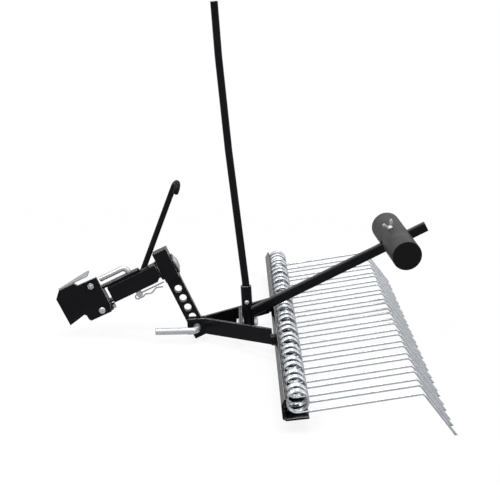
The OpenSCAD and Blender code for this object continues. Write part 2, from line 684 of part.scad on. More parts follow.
// Spring clip: a straight leg through the pin, a loop in front of it and a waved leg below
module hitch_clip() {
  loop_r = 3.9;
  leg_front = -5.4;
  leg_rear = 48;
  low = -2 * loop_r;
  lap = 0.6;
  wave = [[4.8, low], [8.6, low + 2.7], [20, low - 0.9], [31, low + 4.6], [43, low + 0.8]];
  color(zinc) on_unit() translate([hitch_u, 0, clip_v]) {
    rod_x(clip_d, leg_front, leg_rear);
    translate([leg_front, 0, -loop_r]) rotate([90, 0, 0]) rotate([0, 0, 90])
      rotate_extrude(angle = 180, $fn = fine) translate([loop_r, 0]) circle(d = clip_d, $fn = 24);
    translate([0, 0, low]) rod_x(clip_d, leg_front, wave[0][0]);
    for (i = [0 : len(wave) - 2]) let (from = wave[i], step = wave[i + 1] - from)
      translate([from[0], 0, from[1]]) rotate([0, -atan2(step[1], step[0]), 0]) rod_x(clip_d, -lap, norm(step));
  }
}

// Hitch strap: a bent flat bar with two tongues that the hitch pin passes through
module tongue(v) {
  round_r = strap_w / 2;
  block(web_u - 1, tongue_rear - round_r, -strap_w / 2, strap_w / 2, v, v + strap_t);
  translate([tongue_rear - round_r, 0, 0]) rod_z(strap_w, v, v + strap_t);
}
module hitch_strap() {
  color(gloss_black) on_unit() difference() {
    union() {
      tongue(tongue_high);
      tongue(tongue_low);
      block(web_u - strap_t, web_u, -strap_w / 2, strap_w / 2, web_low, tongue_high + strap_t);
    }
    translate([hitch_u, 0, 0]) rod_z(hitch_hole, web_low, tongue_high + 10);
    translate([0, 0, strap_bolt_v]) rod_x(clamp_bolt_d + 2 * hole_gap, web_u - 10, web_u + 1);
  }
}
// Countersunk head of the strap bolt, along +x from the web's front face
module sunk_head(extra) {
  rotate([0, 90, 0]) cylinder(d1 = 2 * clamp_bolt_d + extra, d2 = clamp_bolt_d + extra, h = clamp_bolt_d / 2, $fn = fine);
}
// Side plate of the hitch with its notched outline and the web that the strap is bolted to
module side_plate() {
  u = bracket_u;
  v = tow_rise;
  front = u - side_length;
  color(gloss_black) on_unit() difference() {
    union() {
      translate([0, side_y + side_t, 0]) rotate([90, 0, 0]) linear_extrude(side_t)
        polygon([[front + nose_u, v + nose_v], [front + 12.5, v + plate_rise], [front + 41.5, v + plate_rise],
                 [front + 46, v + 41.5], [u + strap_t, v + 40.5], [u + strap_t, v - 14], [u + 1, v - 26.5],
                 [front + 38.5, v - 25.8], [front + 36, v - 22], [front + 35.3, v - 13.5],
                 [front + 32.5, v - 10.8], [front + 1.7, v - 17.2]]);
      block(u - strap_t, u, side_y, strap_w / 2, web_low, v + 20);
    }
    translate([0, 0, strap_bolt_v]) rod_x(clamp_bolt_d + 2 * hole_gap, u - 10, u + 1);
    translate([u - strap_t, 0, strap_bolt_v]) sunk_head(0.6);
    for (k = [0, 1]) translate([clamp_bolt_u + k * clamp_bolt_lean, 0, clamp_bolt_v + k * clamp_bolt_pitch])
      rod_y(clamp_bolt_d + 2 * hole_gap, side_y - 1, side_y + side_t + 1);
  }
}
// Gusset: a flat triangle on the side plate's top edge
module gusset_plate() {
  front = bracket_u - side_length;
  toe = front + 12.5;
  heel = front + 69;
  tip = front + 60;
  tip_y = side_y + 37;
  color(pale_grey) on_unit() translate([0, 0, tow_rise + plate_rise]) linear_extrude(3)
    polygon([[toe, side_y], [heel, side_y], [heel, tip_y], [tip, tip_y]]);
}
// Clamp plate, held against the towing vehicle's plate by two bolts
module clamp_plate() {
  color(gloss_black) on_unit() difference() {
    block(clamp_bolt_u - 26, bracket_u - strap_t - seat, clamp_y, clamp_y + side_t, tow_rise - 26, tow_rise + 36.8);
    for (k = [0, 1]) translate([clamp_bolt_u + k * clamp_bolt_lean, 0, clamp_bolt_v + k * clamp_bolt_pitch])
      rod_y(clamp_bolt_d + 2 * hole_gap, clamp_y - 1, clamp_y + side_t + 1);
  }
}
// Lower bolt shows its round head on the near side, the upper one its nut
module clamp_bolts() {
  grip = clamp_y + side_t - side_y;
  length = grip + nut_h(clamp_bolt_d) + 2;
  color(zinc) on_unit() {
    translate([clamp_bolt_u, side_y, clamp_bolt_v]) {
      rod_y(2 * clamp_bolt_d, -0.5 * clamp_bolt_d, 0);
      rod_y(clamp_bolt_d, -1, length);
    }
    translate([clamp_bolt_u + clamp_bolt_lean, clamp_y + side_t, clamp_bolt_v + clamp_bolt_pitch]) {
      rod_y(2 * clamp_bolt_d, 0, 0.5 * clamp_bolt_d);
      rod_y(clamp_bolt_d, -length, 1);
    }
  }
}
module clamp_nuts() {
  color(zinc) on_unit() {
    translate([clamp_bolt_u, clamp_y + side_t, clamp_bolt_v]) rotate([90, 0, 0]) hex_nut(clamp_bolt_d);
    translate([clamp_bolt_u + clamp_bolt_lean, side_y, clamp_bolt_v + clamp_bolt_pitch]) rotate([-90, 0, 0])
      hex_nut(clamp_bolt_d);
  }
}
module strap_bolt() {
  color(zinc) on_unit() translate([bracket_u - strap_t, 0, strap_bolt_v]) {
    sunk_head(0);
    rod_x(clamp_bolt_d, clamp_bolt_d / 2 - 0.5, 2 * strap_t + nut_h(clamp_bolt_d) + 0.5);
  }
}
module strap_nut() {
  color(zinc) on_unit() translate([web_u, 0, strap_bolt_v]) rotate([0, -90, 0]) hex_nut(clamp_bolt_d);
}

tine_bar();
spring_clamps();
spring_bolts();
spring_nuts();
frame_leg_right();
frame_leg_left();
cross_plate();
cross_bolt();
cross_nut();
cross_washer();
lever_socket();
lever();
lever_bolt();
lever_nut();
weight_arm();
counterweight();
wing_screw();
height_bar();
pivot_block();
lift_pin();
roll_washer_rear();
roll_nut();
roll_bolt();
roll_washer_front();
drawbar();
hook_rod();
hitch_pin();
hitch_clip();
hitch_strap();
side_plate();
gusset_plate();
clamp_plate();
clamp_bolts();
clamp_nuts();
strap_bolt();
strap_nut();
for (i = [1 : spring_count]) spring(i);
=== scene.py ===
import json
import math

import bmesh
import bpy
from mathutils import Matrix, Vector


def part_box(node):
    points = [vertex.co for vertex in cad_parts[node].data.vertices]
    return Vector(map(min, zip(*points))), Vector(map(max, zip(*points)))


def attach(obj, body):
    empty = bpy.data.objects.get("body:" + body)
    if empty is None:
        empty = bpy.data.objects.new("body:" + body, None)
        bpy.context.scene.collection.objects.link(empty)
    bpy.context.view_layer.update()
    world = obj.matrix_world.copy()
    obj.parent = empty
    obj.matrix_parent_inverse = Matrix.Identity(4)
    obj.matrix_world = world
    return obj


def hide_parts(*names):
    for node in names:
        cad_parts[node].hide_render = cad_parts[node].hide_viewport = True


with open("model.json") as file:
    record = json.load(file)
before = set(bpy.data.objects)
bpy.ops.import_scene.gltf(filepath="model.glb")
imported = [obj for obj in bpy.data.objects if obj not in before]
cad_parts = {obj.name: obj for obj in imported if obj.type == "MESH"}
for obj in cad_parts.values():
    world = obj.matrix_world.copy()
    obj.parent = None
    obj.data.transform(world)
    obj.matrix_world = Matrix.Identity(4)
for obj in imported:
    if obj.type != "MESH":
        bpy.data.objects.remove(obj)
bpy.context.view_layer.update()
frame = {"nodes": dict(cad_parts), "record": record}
mm = 0.001
print("rake: frame loaded with", len(frame["nodes"]), "nodes")

# where things are, taken from the frame
joints = {joint["name"]: joint for joint in frame["record"]["behaviour"]["joints"]}
slopes = {"bar": 8.3, "unit": 28.0, "arm": 28.8, "hook": 43.6}  # degrees up towards the tines


def turnUp(degrees):
    return Matrix.Rotation(-math.radians(degrees), 4, "Y")


barSheet = {"thickness": 3.5, "wall": 24.0, "cornerHeight": 17.0, "length": 1000.0, "legSeat": 20.0}
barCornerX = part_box("tine_bar")[0].x + barSheet["wall"] * math.sin(math.radians(slopes["bar"])) * mm
onBar = Matrix.Translation((barCornerX, 0, barSheet["cornerHeight"] * mm)) @ turnUp(slopes["bar"])
pivotSpot = Vector(joints["lift_hinge"]["pos_m"])
onUnit = Matrix.Translation(pivotSpot) @ turnUp(slopes["unit"])
towHeight = (Vector(joints["roll_hinge"]["pos_m"]) - pivotSpot).length
onTow = onUnit @ Matrix.Translation((0, 0, towHeight))
hitchReach = (Vector(joints["hitch_yaw"]["pos_m"]) - Vector(joints["roll_hinge"]["pos_m"])).length
onHitchPin = onTow @ Matrix.Translation((-hitchReach, 0, 0))
legHeading = onBar @ Vector((0, 0, barSheet["legSeat"] * mm)) - pivotSpot
slopes["leg"] = math.degrees(math.atan2(legHeading.z, legHeading.x))
crossStack = {"reach": 75.0, "socketMiddle": 15.2, "socketLean": 5.5, "nutSeat": 25.9}
onCross = (Matrix.Translation(pivotSpot) @ turnUp(slopes["leg"])
           @ Matrix.Translation((crossStack["reach"] * mm, 0, 0)))
onSocket = (onCross @ Matrix.Translation((crossStack["socketMiddle"] * mm, 0, 0))
            @ turnUp(crossStack["socketLean"] - slopes["leg"]))
weightSpot = Vector(joints["wing_screw_turn"]["pos_m"])
weightTilt = {"roll": 11.0, "turn": 3.5}  # degrees about the arm and about the wing screw
onWeight = (Matrix.Translation(weightSpot) @ turnUp(slopes["arm"])
            @ Matrix.Rotation(math.radians(weightTilt["roll"]), 4, "X")
            @ Matrix.Rotation(math.radians(weightTilt["turn"]), 4, "Z"))


# small tools for meshes
def newObject(name, data):
    thing = bpy.data.objects.new(name, data)
    bpy.context.scene.collection.objects.link(thing)
    return thing


def finishMesh(name, bm, material, smoothAngle=40.0, place=None):
    if place is not None:
        bm.transform(place)
    bmesh.ops.recalc_face_normals(bm, faces=bm.faces)
    mesh = bpy.data.meshes.new(name)
    bm.to_mesh(mesh)
    bm.free()
    mesh.polygons.foreach_set("use_smooth", [True] * len(mesh.polygons))
    mesh.set_sharp_from_angle(angle=math.radians(smoothAngle))
    mesh.materials.append(material)
    return newObject(name, mesh)


def standFor(piece, body, slotName, *nodes):
    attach(piece, body)
    if nodes:
        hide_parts(*nodes)


def settle(piece):
    # applies the modifiers and leaves a plain mesh
    graph = bpy.context.evaluated_depsgraph_get()
    mesh = bpy.data.meshes.new_from_object(piece.evaluated_get(graph), depsgraph=graph)
    piece.modifiers.clear()
    old = piece.data
    piece.data = mesh
    bpy.data.meshes.remove(old)
    mesh.name = piece.name


def roundCorners(corners, bendRadius, steps):
    # a polyline with its corners turned into arcs
    points = [Vector(corners[0])]
    for before, corner, after in zip(corners, corners[1:], corners[2:]):
        before, corner, after = Vector(before), Vector(corner), Vector(after)
        back = (before - corner).normalized()
        ahead = (after - corner).normalized()
        halfAngle = back.angle(ahead) / 2
        reach = bendRadius / math.tan(halfAngle)
        middle = corner + (back + ahead).normalized() * bendRadius / math.sin(halfAngle)
        start = corner + back * reach - middle
        axis = start.cross(corner + ahead * reach - middle).normalized()
        sweep = math.pi - 2 * halfAngle
        for step in range(steps + 1):
            points.append(middle + Matrix.Rotation(sweep * step / steps, 3, axis) @ start)
    points.append(Vector(corners[-1]))
    return points


def pathFrames(points):
    # two steady side axes at each point of a path
    headings = []
    for i in range(len(points)):
        before = points[max(i - 1, 0)]
        after = points[min(i + 1, len(points) - 1)]
        headings.append((after - before).normalized())
    side = headings[0].orthogonal().normalized()
    frames = []
    for heading in headings:
        side = (side - heading * side.dot(heading)).normalized()
        frames.append((side, heading.cross(side)))
    return frames


def roundAngles(count):
    return [2 * math.pi * k / count for k in range(count)]


def onRing(radius, angle, height):
    return (radius * math.cos(angle), radius * math.sin(angle), height)


def sweepRings(bm, points, radii, sides):
    rings = []
    for point, radius, (side, other) in zip(points, radii, pathFrames(points)):
        ring = []
        for angle in roundAngles(sides):
            ring.append(bm.verts.new(point + radius * (math.cos(angle) * side + math.sin(angle) * other)))
        rings.append(ring)
    return rings


def bridge(bm, ringA, ringB):
    count = len(ringA)
    for k in range(count):
        n = (k + 1) % count
        bm.faces.new((ringA[k], ringA[n], ringB[n], ringB[k]))


def skinRings(bm, rings, capped=True):
    # a skin over a row of rings, closed at both ends if it is capped
    for ringA, ringB in zip(rings, rings[1:]):
        bridge(bm, ringA, ringB)
    if capped:
        bm.faces.new(rings[0][::-1])
        bm.faces.new(rings[-1])


def sweepRod(bm, points, radius, sides, chamfer=0.0):
    points = list(points)
    radii = [radius] * len(points)
    if chamfer > 0:  # a small bevel at both ends
        first = (points[1] - points[0]).normalized()
        last = (points[-2] - points[-1]).normalized()
        points.insert(1, points[0] + first * chamfer)
        points.insert(-1, points[-1] + last * chamfer)
        radii = [radius - chamfer] + radii + [radius - chamfer]
    rings = sweepRings(bm, points, radii, sides)
    skinRings(bm, rings)
    return rings


def inMetres(profile):
    return [(radius * mm, height * mm) for radius, height in profile]


def lathe(bm, profile, segments):
    # profile of (radius, height) about z, open or closed on the axis
    onAxis = 1e-7
    rings = []
    for radius, height in profile:
        if radius < onAxis:
            rings.append([bm.verts.new((0, 0, height))])
            continue
        rings.append([bm.verts.new(onRing(radius, angle, height)) for angle in roundAngles(segments)])
    for ringA, ringB in zip(rings, rings[1:]):
        if len(ringA) == 1:
            for k in range(segments):
                bm.faces.new((ringA[0], ringB[k], ringB[(k + 1) % segments]))
        elif len(ringB) == 1:
            for k in range(segments):
                bm.faces.new((ringA[k], ringA[(k + 1) % segments], ringB[0]))
        else:
            bridge(bm, ringA, ringB)


def hexBody(bm, acrossFlats, low, high, bore=0.0):
    # a hexagon with its corners turned down: a bolt's head, or a nut where it has a bore
    shape = {"facing": 0.96, "turnedDown": 30.0, "lip": 0.03, "segments": 48}
    half = acrossFlats / 2
    facing = shape["facing"] * half
    lip = shape["lip"] * acrossFlats

    def corner(angle):
        return half / math.cos((angle + math.pi / 6) % (math.pi / 3) - math.pi / 6)

    def drop(angle):
        return max(0.0, corner(angle) - facing) * math.tan(math.radians(shape["turnedDown"]))

    def ringAt(radiusOf, heightOf):
        spots = [onRing(radiusOf(angle), angle, heightOf(angle)) for angle in roundAngles(shape["segments"])]
        return [bm.verts.new(spot) for spot in spots]

    def flatRing(radius, height):
        return ringAt(lambda a: radius, lambda a: height)

    rings = []
    if bore > 0:
        rings.append(flatRing(facing, low))
        rings.append(ringAt(corner, lambda a: low + drop(a)))
    else:
        rings.append(ringAt(corner, lambda a: low))
    rings.append(ringAt(corner, lambda a: high - drop(a)))
    rings.append(flatRing(facing, high))
    if bore > 0:
        rings.append(flatRing(bore + lip, high))
        rings.append(flatRing(bore, high - lip))
        rings.append(flatRing(bore, low + lip))
        rings.append(flatRing(bore + lip, low))
        rings.append(rings[0])
    skinRings(bm, rings, capped=bore <= 0)


def threadedRod(bm, size, low, high, segments=24):
    # a shank whose thread is a row of fine ridges, bevelled at both ends
    ridge = {"end": 0.8, "shoulder": 0.1, "root": 0.55, "start": 1.5}  # shares of the pitch
    radius, pitch, low, high = size["thread"] / 2 * mm, size["pitch"] * mm, low * mm, high * mm
    end = radius - ridge["end"] * pitch
    shoulder = radius - ridge["shoulder"] * pitch
    profile = [(0, low), (end, low), (shoulder, low + pitch)]
    height = low + ridge["start"] * pitch
    while height < high - pitch:
        profile += [(radius, height), (radius - ridge["root"] * pitch, height + pitch / 2)]
        height += pitch
    profile += [(shoulder, height), (end, high), (0, high)]
    lathe(bm, profile, segments)


# small tools for node trees
def addNode(tree, kind, settings=None, inputs=None):
    node = tree.nodes.new(kind)
    for key, value in (settings or {}).items():
        setattr(node, key, value)
    for key, value in (inputs or {}).items():
        node.inputs[key].default_value = value
    return node


def startMaterial(name):
    material = bpy.data.materials.new(name)
    material.use_nodes = True
    tree = material.node_tree
    shader = tree.nodes["Principled BSDF"]
    place = addNode(tree, "ShaderNodeTexCoord")
    return material, tree, shader, place.outputs["Object"]


def noiseOn(tree, spot, scale, detail=3.0, roughness=0.55):
    noise = addNode(tree, "ShaderNodeTexNoise",
                    inputs={"Scale": scale, "Detail": detail, "Roughness": roughness})
    tree.links.new(spot, noise.inputs["Vector"])
    return noise.outputs["Fac"]


def rangeOf(tree, value, low, high, outLow, outHigh):
    node = addNode(tree, "ShaderNodeMapRange",
                   inputs={"From Min": low, "From Max": high, "To Min": outLow, "To Max": outHigh})
    tree.links.new(value, node.inputs["Value"])
    return node.outputs["Result"]


def patchesOn(tree, spot, scale, between, span=(0.0, 1.0), detail=3.0, roughness=0.55):
    # soft patches: what a noise has between two levels, spread over a span
    return rangeOf(tree, noiseOn(tree, spot, scale, detail, roughness), *between, *span)


def blendColours(tree, factor, first, second):
    node = addNode(tree, "ShaderNodeMix", settings={"data_type": "RGBA"})
    tree.links.new(factor, node.inputs["Factor"])
    for socket, colour in ((node.inputs[6], first), (node.inputs[7], second)):
        if isinstance(colour, tuple):
            socket.default_value = (*colour, 1.0)
        else:
            tree.links.new(colour, socket)
    return node.outputs[2]


def bumpOn(tree, height, strength, depth, under=None):
    # a bump, on top of another where there is one
    bump = addNode(tree, "ShaderNodeBump", inputs={"Strength": strength, "Distance": depth})
    tree.links.new(height, bump.inputs["Height"])
    if under is not None:
        tree.links.new(under, bump.inputs["Normal"])
    return bump.outputs["Normal"]


def softNormal(tree, shader, spot, layers):
    # one fine bump for each (scale, strength, depth), each on top of the last
    normal = None
    for scale, strength, depth in layers:
        normal = bumpOn(tree, noiseOn(tree, spot, scale), strength, depth, normal)
    tree.links.new(normal, shader.inputs["Normal"])


def edgeMask(tree, edge):
    # where the painted edge highlight goes: near an upward edge, where a widely rounded normal leaves the
    # real one
    wide = addNode(tree, "ShaderNodeBevel", settings={"samples": 4}, inputs={"Radius": edge["reach"]})
    flat = addNode(tree, "ShaderNodeNewGeometry")
    dot = addNode(tree, "ShaderNodeVectorMath", settings={"operation": "DOT_PRODUCT"})
    tree.links.new(wide.outputs["Normal"], dot.inputs[0])
    tree.links.new(flat.outputs["Normal"], dot.inputs[1])
    parts = addNode(tree, "ShaderNodeSeparateXYZ")
    tree.links.new(wide.outputs["Normal"], parts.inputs["Vector"])
    upward = rangeOf(tree, parts.outputs["Z"], *edge["upward"], 0.0, 1.0)
    turned = rangeOf(tree, dot.outputs["Value"], *edge["turned"], 0.0, 1.0)
    return mathOf(tree, "MULTIPLY", upward, turned)


def mathOf(tree, operation, *values):
    # one sum on sockets and plain numbers
    node = addNode(tree, "ShaderNodeMath", settings={"operation": operation})
    for socket, value in zip(node.inputs, values):
        if isinstance(value, float):
            socket.default_value = value
        else:
            tree.links.new(value, socket)
    return node.outputs[0]


def blackPaint():
    # stoved gloss paint with a fine orange peel, a little dust and a painted highlight: paler colour on
    # upward edges, in patches
    look = {"deep": (0.0045, 0.0045, 0.0055), "thin": (0.0065, 0.0065, 0.008), "dust": (0.010, 0.010, 0.010),
            "paintedEdgeHighlight": (0.62, 0.62, 0.63), "specular": 0.10,
            "peel": [(1500.0, 0.02, 0.0003), (230.0, 0.015, 0.0006)],
            "edge": {"reach": 0.0019, "upward": (0.1, 0.35), "turned": (0.95, 0.80)},
            "mottle": {"scale": 14.0, "between": (0.35, 0.7)},
            "dusting": {"scale": 60.0, "between": (0.58, 0.8), "span": (0.0, 0.25), "detail": 6.0,
                        "roughness": 0.7},
            "highlightPatches": {"scale": 60.0, "between": (0.3, 0.65), "span": (0.6, 1.0), "detail": 4.0,
                    "roughness": 0.6},
            "gloss": {"scale": 35.0, "between": (0.3, 0.7), "span": (0.15, 0.25), "detail": 5.0}}
    material, tree, shader, spot = startMaterial("blackPaint")
    softNormal(tree, shader, spot, look["peel"])
    paint = blendColours(tree, patchesOn(tree, spot, **look["mottle"]), look["deep"], look["thin"])
    dusty = blendColours(tree, patchesOn(tree, spot, **look["dusting"]), paint, look["dust"])
    # painted highlight: a pale colour laid on upward edges, broken into patches
    paintedEdgeHighlight = mathOf(tree, "MULTIPLY", edgeMask(tree, look["edge"]), patchesOn(tree, spot, **look["highlightPatches"]))
    tree.links.new(blendColours(tree, paintedEdgeHighlight, dusty, look["paintedEdgeHighlight"]), shader.inputs["Base Color"])
    tree.links.new(patchesOn(tree, spot, **look["gloss"]), shader.inputs["Roughness"])
    shader.inputs["Specular IOR Level"].default_value = look["specular"]
    return material


def plated(name, bright, dull, roughness, metal):
    # zinc plate: bright metal with cloudy patches and fine pits, and painted shade that darkens its hollows
    look = {"pits": [(400.0, 0.015, 0.0002)],
            "cloud": {"scale": 70.0, "between": (0.35, 0.68), "detail": 5.0, "roughness": 0.6},
            "patches": {"scale": 160.0, "between": (0.3, 0.7), "detail": 4.0},
            "paintedHollowShade": (0.035, 0.035, 0.038), "hollow": 0.006, "open": (0.30, 0.85)}
    material, tree, shader, spot = startMaterial(name)
    softNormal(tree, shader, spot, look["pits"])
    # painted shade: ambient occlusion turns the colour near black in hollows and between coils
    hollow = addNode(tree, "ShaderNodeAmbientOcclusion", settings={"samples": 6},
                     inputs={"Distance": look["hollow"]})
    unshaded = rangeOf(tree, hollow.outputs["AO"], *look["open"], 0.0, 1.0)
    plate = blendColours(tree, patchesOn(tree, spot, **look["cloud"]), bright, dull)
    tree.links.new(blendColours(tree, unshaded, look["paintedHollowShade"], plate), shader.inputs["Base Color"])
    tree.links.new(patchesOn(tree, spot, span=roughness, **look["patches"]), shader.inputs["Roughness"])
    shader.inputs["Metallic"].default_value = metal
    return material


def weightPaint():
    # satin grey on the turned side, near black on the two ends
    look = {"side": (0.058, 0.058, 0.060), "sideDark": (0.038, 0.038, 0.040), "end": (0.004, 0.004, 0.0045),
            "halfLength": 77.0 * mm, "blend": 0.4 * mm, "round": 0.8 * mm, "specular": 0.12,
            "mottle": {"scale": 45.0, "between": (0.35, 0.7), "detail": 6.0, "roughness": 0.65},
            "satin": {"scale": 80.0, "between": (0.3, 0.7), "span": (0.40, 0.52)},
            "turning": {"Scale": 420.0, "Distortion": 0.6}, "turningBump": (0.10, 0.0003),
            "grain": 1100.0, "grainBump": (0.15, 0.0003)}
    material, tree, shader, spot = startMaterial("weightPaint")
    local = addNode(tree, "ShaderNodeMapping", settings={"vector_type": "TEXTURE"},
                    inputs={"Location": onWeight.translation, "Rotation": onWeight.to_euler()})
    tree.links.new(spot, local.inputs["Vector"])
    parts = addNode(tree, "ShaderNodeSeparateXYZ")
    tree.links.new(local.outputs["Vector"], parts.inputs["Vector"])
    away = mathOf(tree, "ABSOLUTE", parts.outputs["Y"])
    atEnd = rangeOf(tree, away, look["halfLength"], look["halfLength"] + look["blend"], 0.0, 1.0)
    side = blendColours(tree, patchesOn(tree, spot, **look["mottle"]), look["side"], look["sideDark"])
    tree.links.new(blendColours(tree, atEnd, side, look["end"]), shader.inputs["Base Color"])
    bevel = addNode(tree, "ShaderNodeBevel", settings={"samples": 4}, inputs={"Radius": look["round"]})
    bands = addNode(tree, "ShaderNodeTexWave", settings={"bands_direction": "Y"}, inputs=look["turning"])
    tree.links.new(local.outputs["Vector"], bands.inputs["Vector"])
    turned = bumpOn(tree, bands.outputs["Fac"], *look["turningBump"], bevel.outputs["Normal"])
    grain = bumpOn(tree, noiseOn(tree, spot, look["grain"]), *look["grainBump"], turned)
    tree.links.new(grain, shader.inputs["Normal"])
    tree.links.new(patchesOn(tree, spot, **look["satin"]), shader.inputs["Roughness"])
    shader.inputs["Specular IOR Level"].default_value = look["specular"]
    return material


def galvanised():
    # pale sheet with the flat crystals of hot dip zinc
    look = {"pale": (0.50, 0.51, 0.52), "dark": (0.36, 0.37, 0.38), "crystal": 160.0,
            "grain": [(700.0, 0.10, 0.0002)], "roughness": (0.34, 0.5), "metal": 0.9}
    material, tree, shader, spot = startMaterial("galvanised")
    softNormal(tree, shader, spot, look["grain"])
    crystals = addNode(tree, "ShaderNodeTexVoronoi", inputs={"Scale": look["crystal"]})
    tree.links.new(spot, crystals.inputs["Vector"])
    grey = addNode(tree, "ShaderNodeSeparateColor")
    tree.links.new(crystals.outputs["Color"], grey.inputs["Color"])
    sheet = blendColours(tree, grey.outputs[0], look["pale"], look["dark"])
    tree.links.new(sheet, shader.inputs["Base Color"])
    rough = rangeOf(tree, grey.outputs[1], 0.0, 1.0, *look["roughness"])
    tree.links.new(rough, shader.inputs["Roughness"])
    shader.inputs["Metallic"].default_value = look["metal"]
    return material


black = blackPaint()
zinc = plated("zincPlate", (0.54, 0.55, 0.57), (0.50, 0.51, 0.53), (0.28, 0.34), 0.7)
springZinc = plated("springWire", (0.56, 0.58, 0.61), (0.46, 0.48, 0.51), (0.22, 0.30), 0.75)
slotLook = {"black_paint": black, "zinc": zinc, "spring_wire": springZinc, "weight_grey": weightPaint(),
            "pale_plate": galvanised()}
for entry in frame["record"]["subparts"]:
    node = frame["nodes"][entry["node"]]
    node.data.materials.clear()
    node.data.materials.append(slotLook[entry["material_slot"]])
print("rake: finishes made")


# Geometry Nodes trees
def startTree(name, sockets):
    # a tree with named inputs, and the node that gives them
    tree = bpy.data.node_groups.new(name, "GeometryNodeTree")
    tree.interface.new_socket("Geometry", in_out="INPUT", socket_type="NodeSocketGeometry")
    for label, kind in sockets.items():
        tree.interface.new_socket(label, in_out="INPUT", socket_type="NodeSocket" + kind)
    tree.interface.new_socket("Geometry", in_out="OUTPUT", socket_type="NodeSocketGeometry")
    return tree, tree.nodes.new("NodeGroupInput")


def endTree(tree, entry, copies, *between):
    # makes the copies real and gives them their finish
    finish = tree.nodes.new("GeometryNodeSetMaterial")
    tree.links.new(entry.outputs["Finish"], finish.inputs["Material"])
    real = tree.nodes.new("GeometryNodeRealizeInstances")
    tree.links.new(copies.outputs["Instances"], real.inputs["Geometry"])
    chain = [real, *between, finish, tree.nodes.new("NodeGroupOutput")]
    for before, after in zip(chain, chain[1:]):
        tree.links.new(before.outputs["Geometry"], after.inputs["Geometry"])


def rowOfCopies():
    # sets copies of one piece in a row along y, evenly spaced about the middle
    tree, entry = startTree("rowOfCopies", {"Source": "Object", "Count": "Int", "Pitch": "Float",
                                            "Finish": "Material"})
    line = addNode(tree, "GeometryNodeMeshLine", settings={"mode": "OFFSET"})
    step = tree.nodes.new("ShaderNodeCombineXYZ")
    start = tree.nodes.new("ShaderNodeCombineXYZ")
    source = addNode(tree, "GeometryNodeObjectInfo", settings={"transform_space": "ORIGINAL"})
    copies = tree.nodes.new("GeometryNodeInstanceOnPoints")
    gaps = mathOf(tree, "SUBTRACT", entry.outputs["Count"], 1.0)
    halfSpan = mathOf(tree, "MULTIPLY", gaps, -0.5)
    link = tree.links.new
    link(mathOf(tree, "MULTIPLY", halfSpan, entry.outputs["Pitch"]), start.inputs["Y"])
    link(entry.outputs["Pitch"], step.inputs["Y"])
    link(entry.outputs["Count"], line.inputs["Count"])
    link(start.outputs[0], line.inputs["Start Location"])
    link(step.outputs[0], line.inputs["Offset"])
    link(entry.outputs["Source"], source.inputs["Object"])
    link(line.outputs["Mesh"], copies.inputs["Points"])
    link(source.outputs["Geometry"], copies.inputs["Instance"])
    endTree(tree, entry, copies)
    return tree


def weldRipples():
    # lays overlapping round drops along a path, as a weld seam sets
    ripple = {"drop": {"Segments": 10, "Rings": 6, "Radius": 1.0}, "least": 0.85, "most": 1.12}
    tree, entry = startTree("weldRipples", {"Spacing": "Float", "Width": "Float", "Seed": "Int",
                                            "Finish": "Material"})
    curve = tree.nodes.new("GeometryNodeMeshToCurve")
    even = addNode(tree, "GeometryNodeResampleCurve", settings={"mode": "LENGTH"})
    points = addNode(tree, "GeometryNodeCurveToPoints", settings={"mode": "EVALUATED"})
    drop = addNode(tree, "GeometryNodeMeshUVSphere", inputs=ripple["drop"])
    copies = tree.nodes.new("GeometryNodeInstanceOnPoints")
    size = addNode(tree, "FunctionNodeRandomValue", settings={"data_type": "FLOAT"},
                   inputs={2: ripple["least"], 3: ripple["most"]})
    link = tree.links.new
    link(entry.outputs["Geometry"], curve.inputs["Mesh"])
    link(curve.outputs["Curve"], even.inputs["Curve"])
    link(entry.outputs["Spacing"], even.inputs["Length"])
    link(even.outputs["Curve"], points.inputs["Curve"])
    link(points.outputs["Points"], copies.inputs["Points"])
    link(points.outputs["Rotation"], copies.inputs["Rotation"])
    link(drop.outputs["Mesh"], copies.inputs["Instance"])
    link(entry.outputs["Seed"], size.inputs["Seed"])
    link(mathOf(tree, "MULTIPLY", size.outputs[1], entry.outputs["Width"]), copies.inputs["Scale"])
    endTree(tree, entry, copies, tree.nodes.new("GeometryNodeSetShadeSmooth"))
    return tree


def runTree(piece, tree, values):
    modifier = piece.modifiers.new(tree.name, "NODES")
    modifier.node_group = tree
    sockets = {item.name: item.identifier for item in tree.interface.items_tree if item.in_out == "INPUT"}
    for name, value in values.items():
        modifier[sockets[name]] = value
    settle(piece)


copiesTree = rowOfCopies()
weldTree = weldRipples()
tineRow = {"count": 14, "seat": 0.3}
tineRow["pitch"] = barSheet["length"] / tineRow["count"]


def rowAlongBar(name, source, material, slotName, *nodes):
    holder = newObject(name, bpy.data.meshes.new(name))
    runTree(holder, copiesTree, {"Source": source, "Count": tineRow["count"], "Pitch": tineRow["pitch"] * mm,
                                 "Finish": material})
    bpy.data.objects.remove(source)
    standFor(holder, "rake", slotName, *nodes)


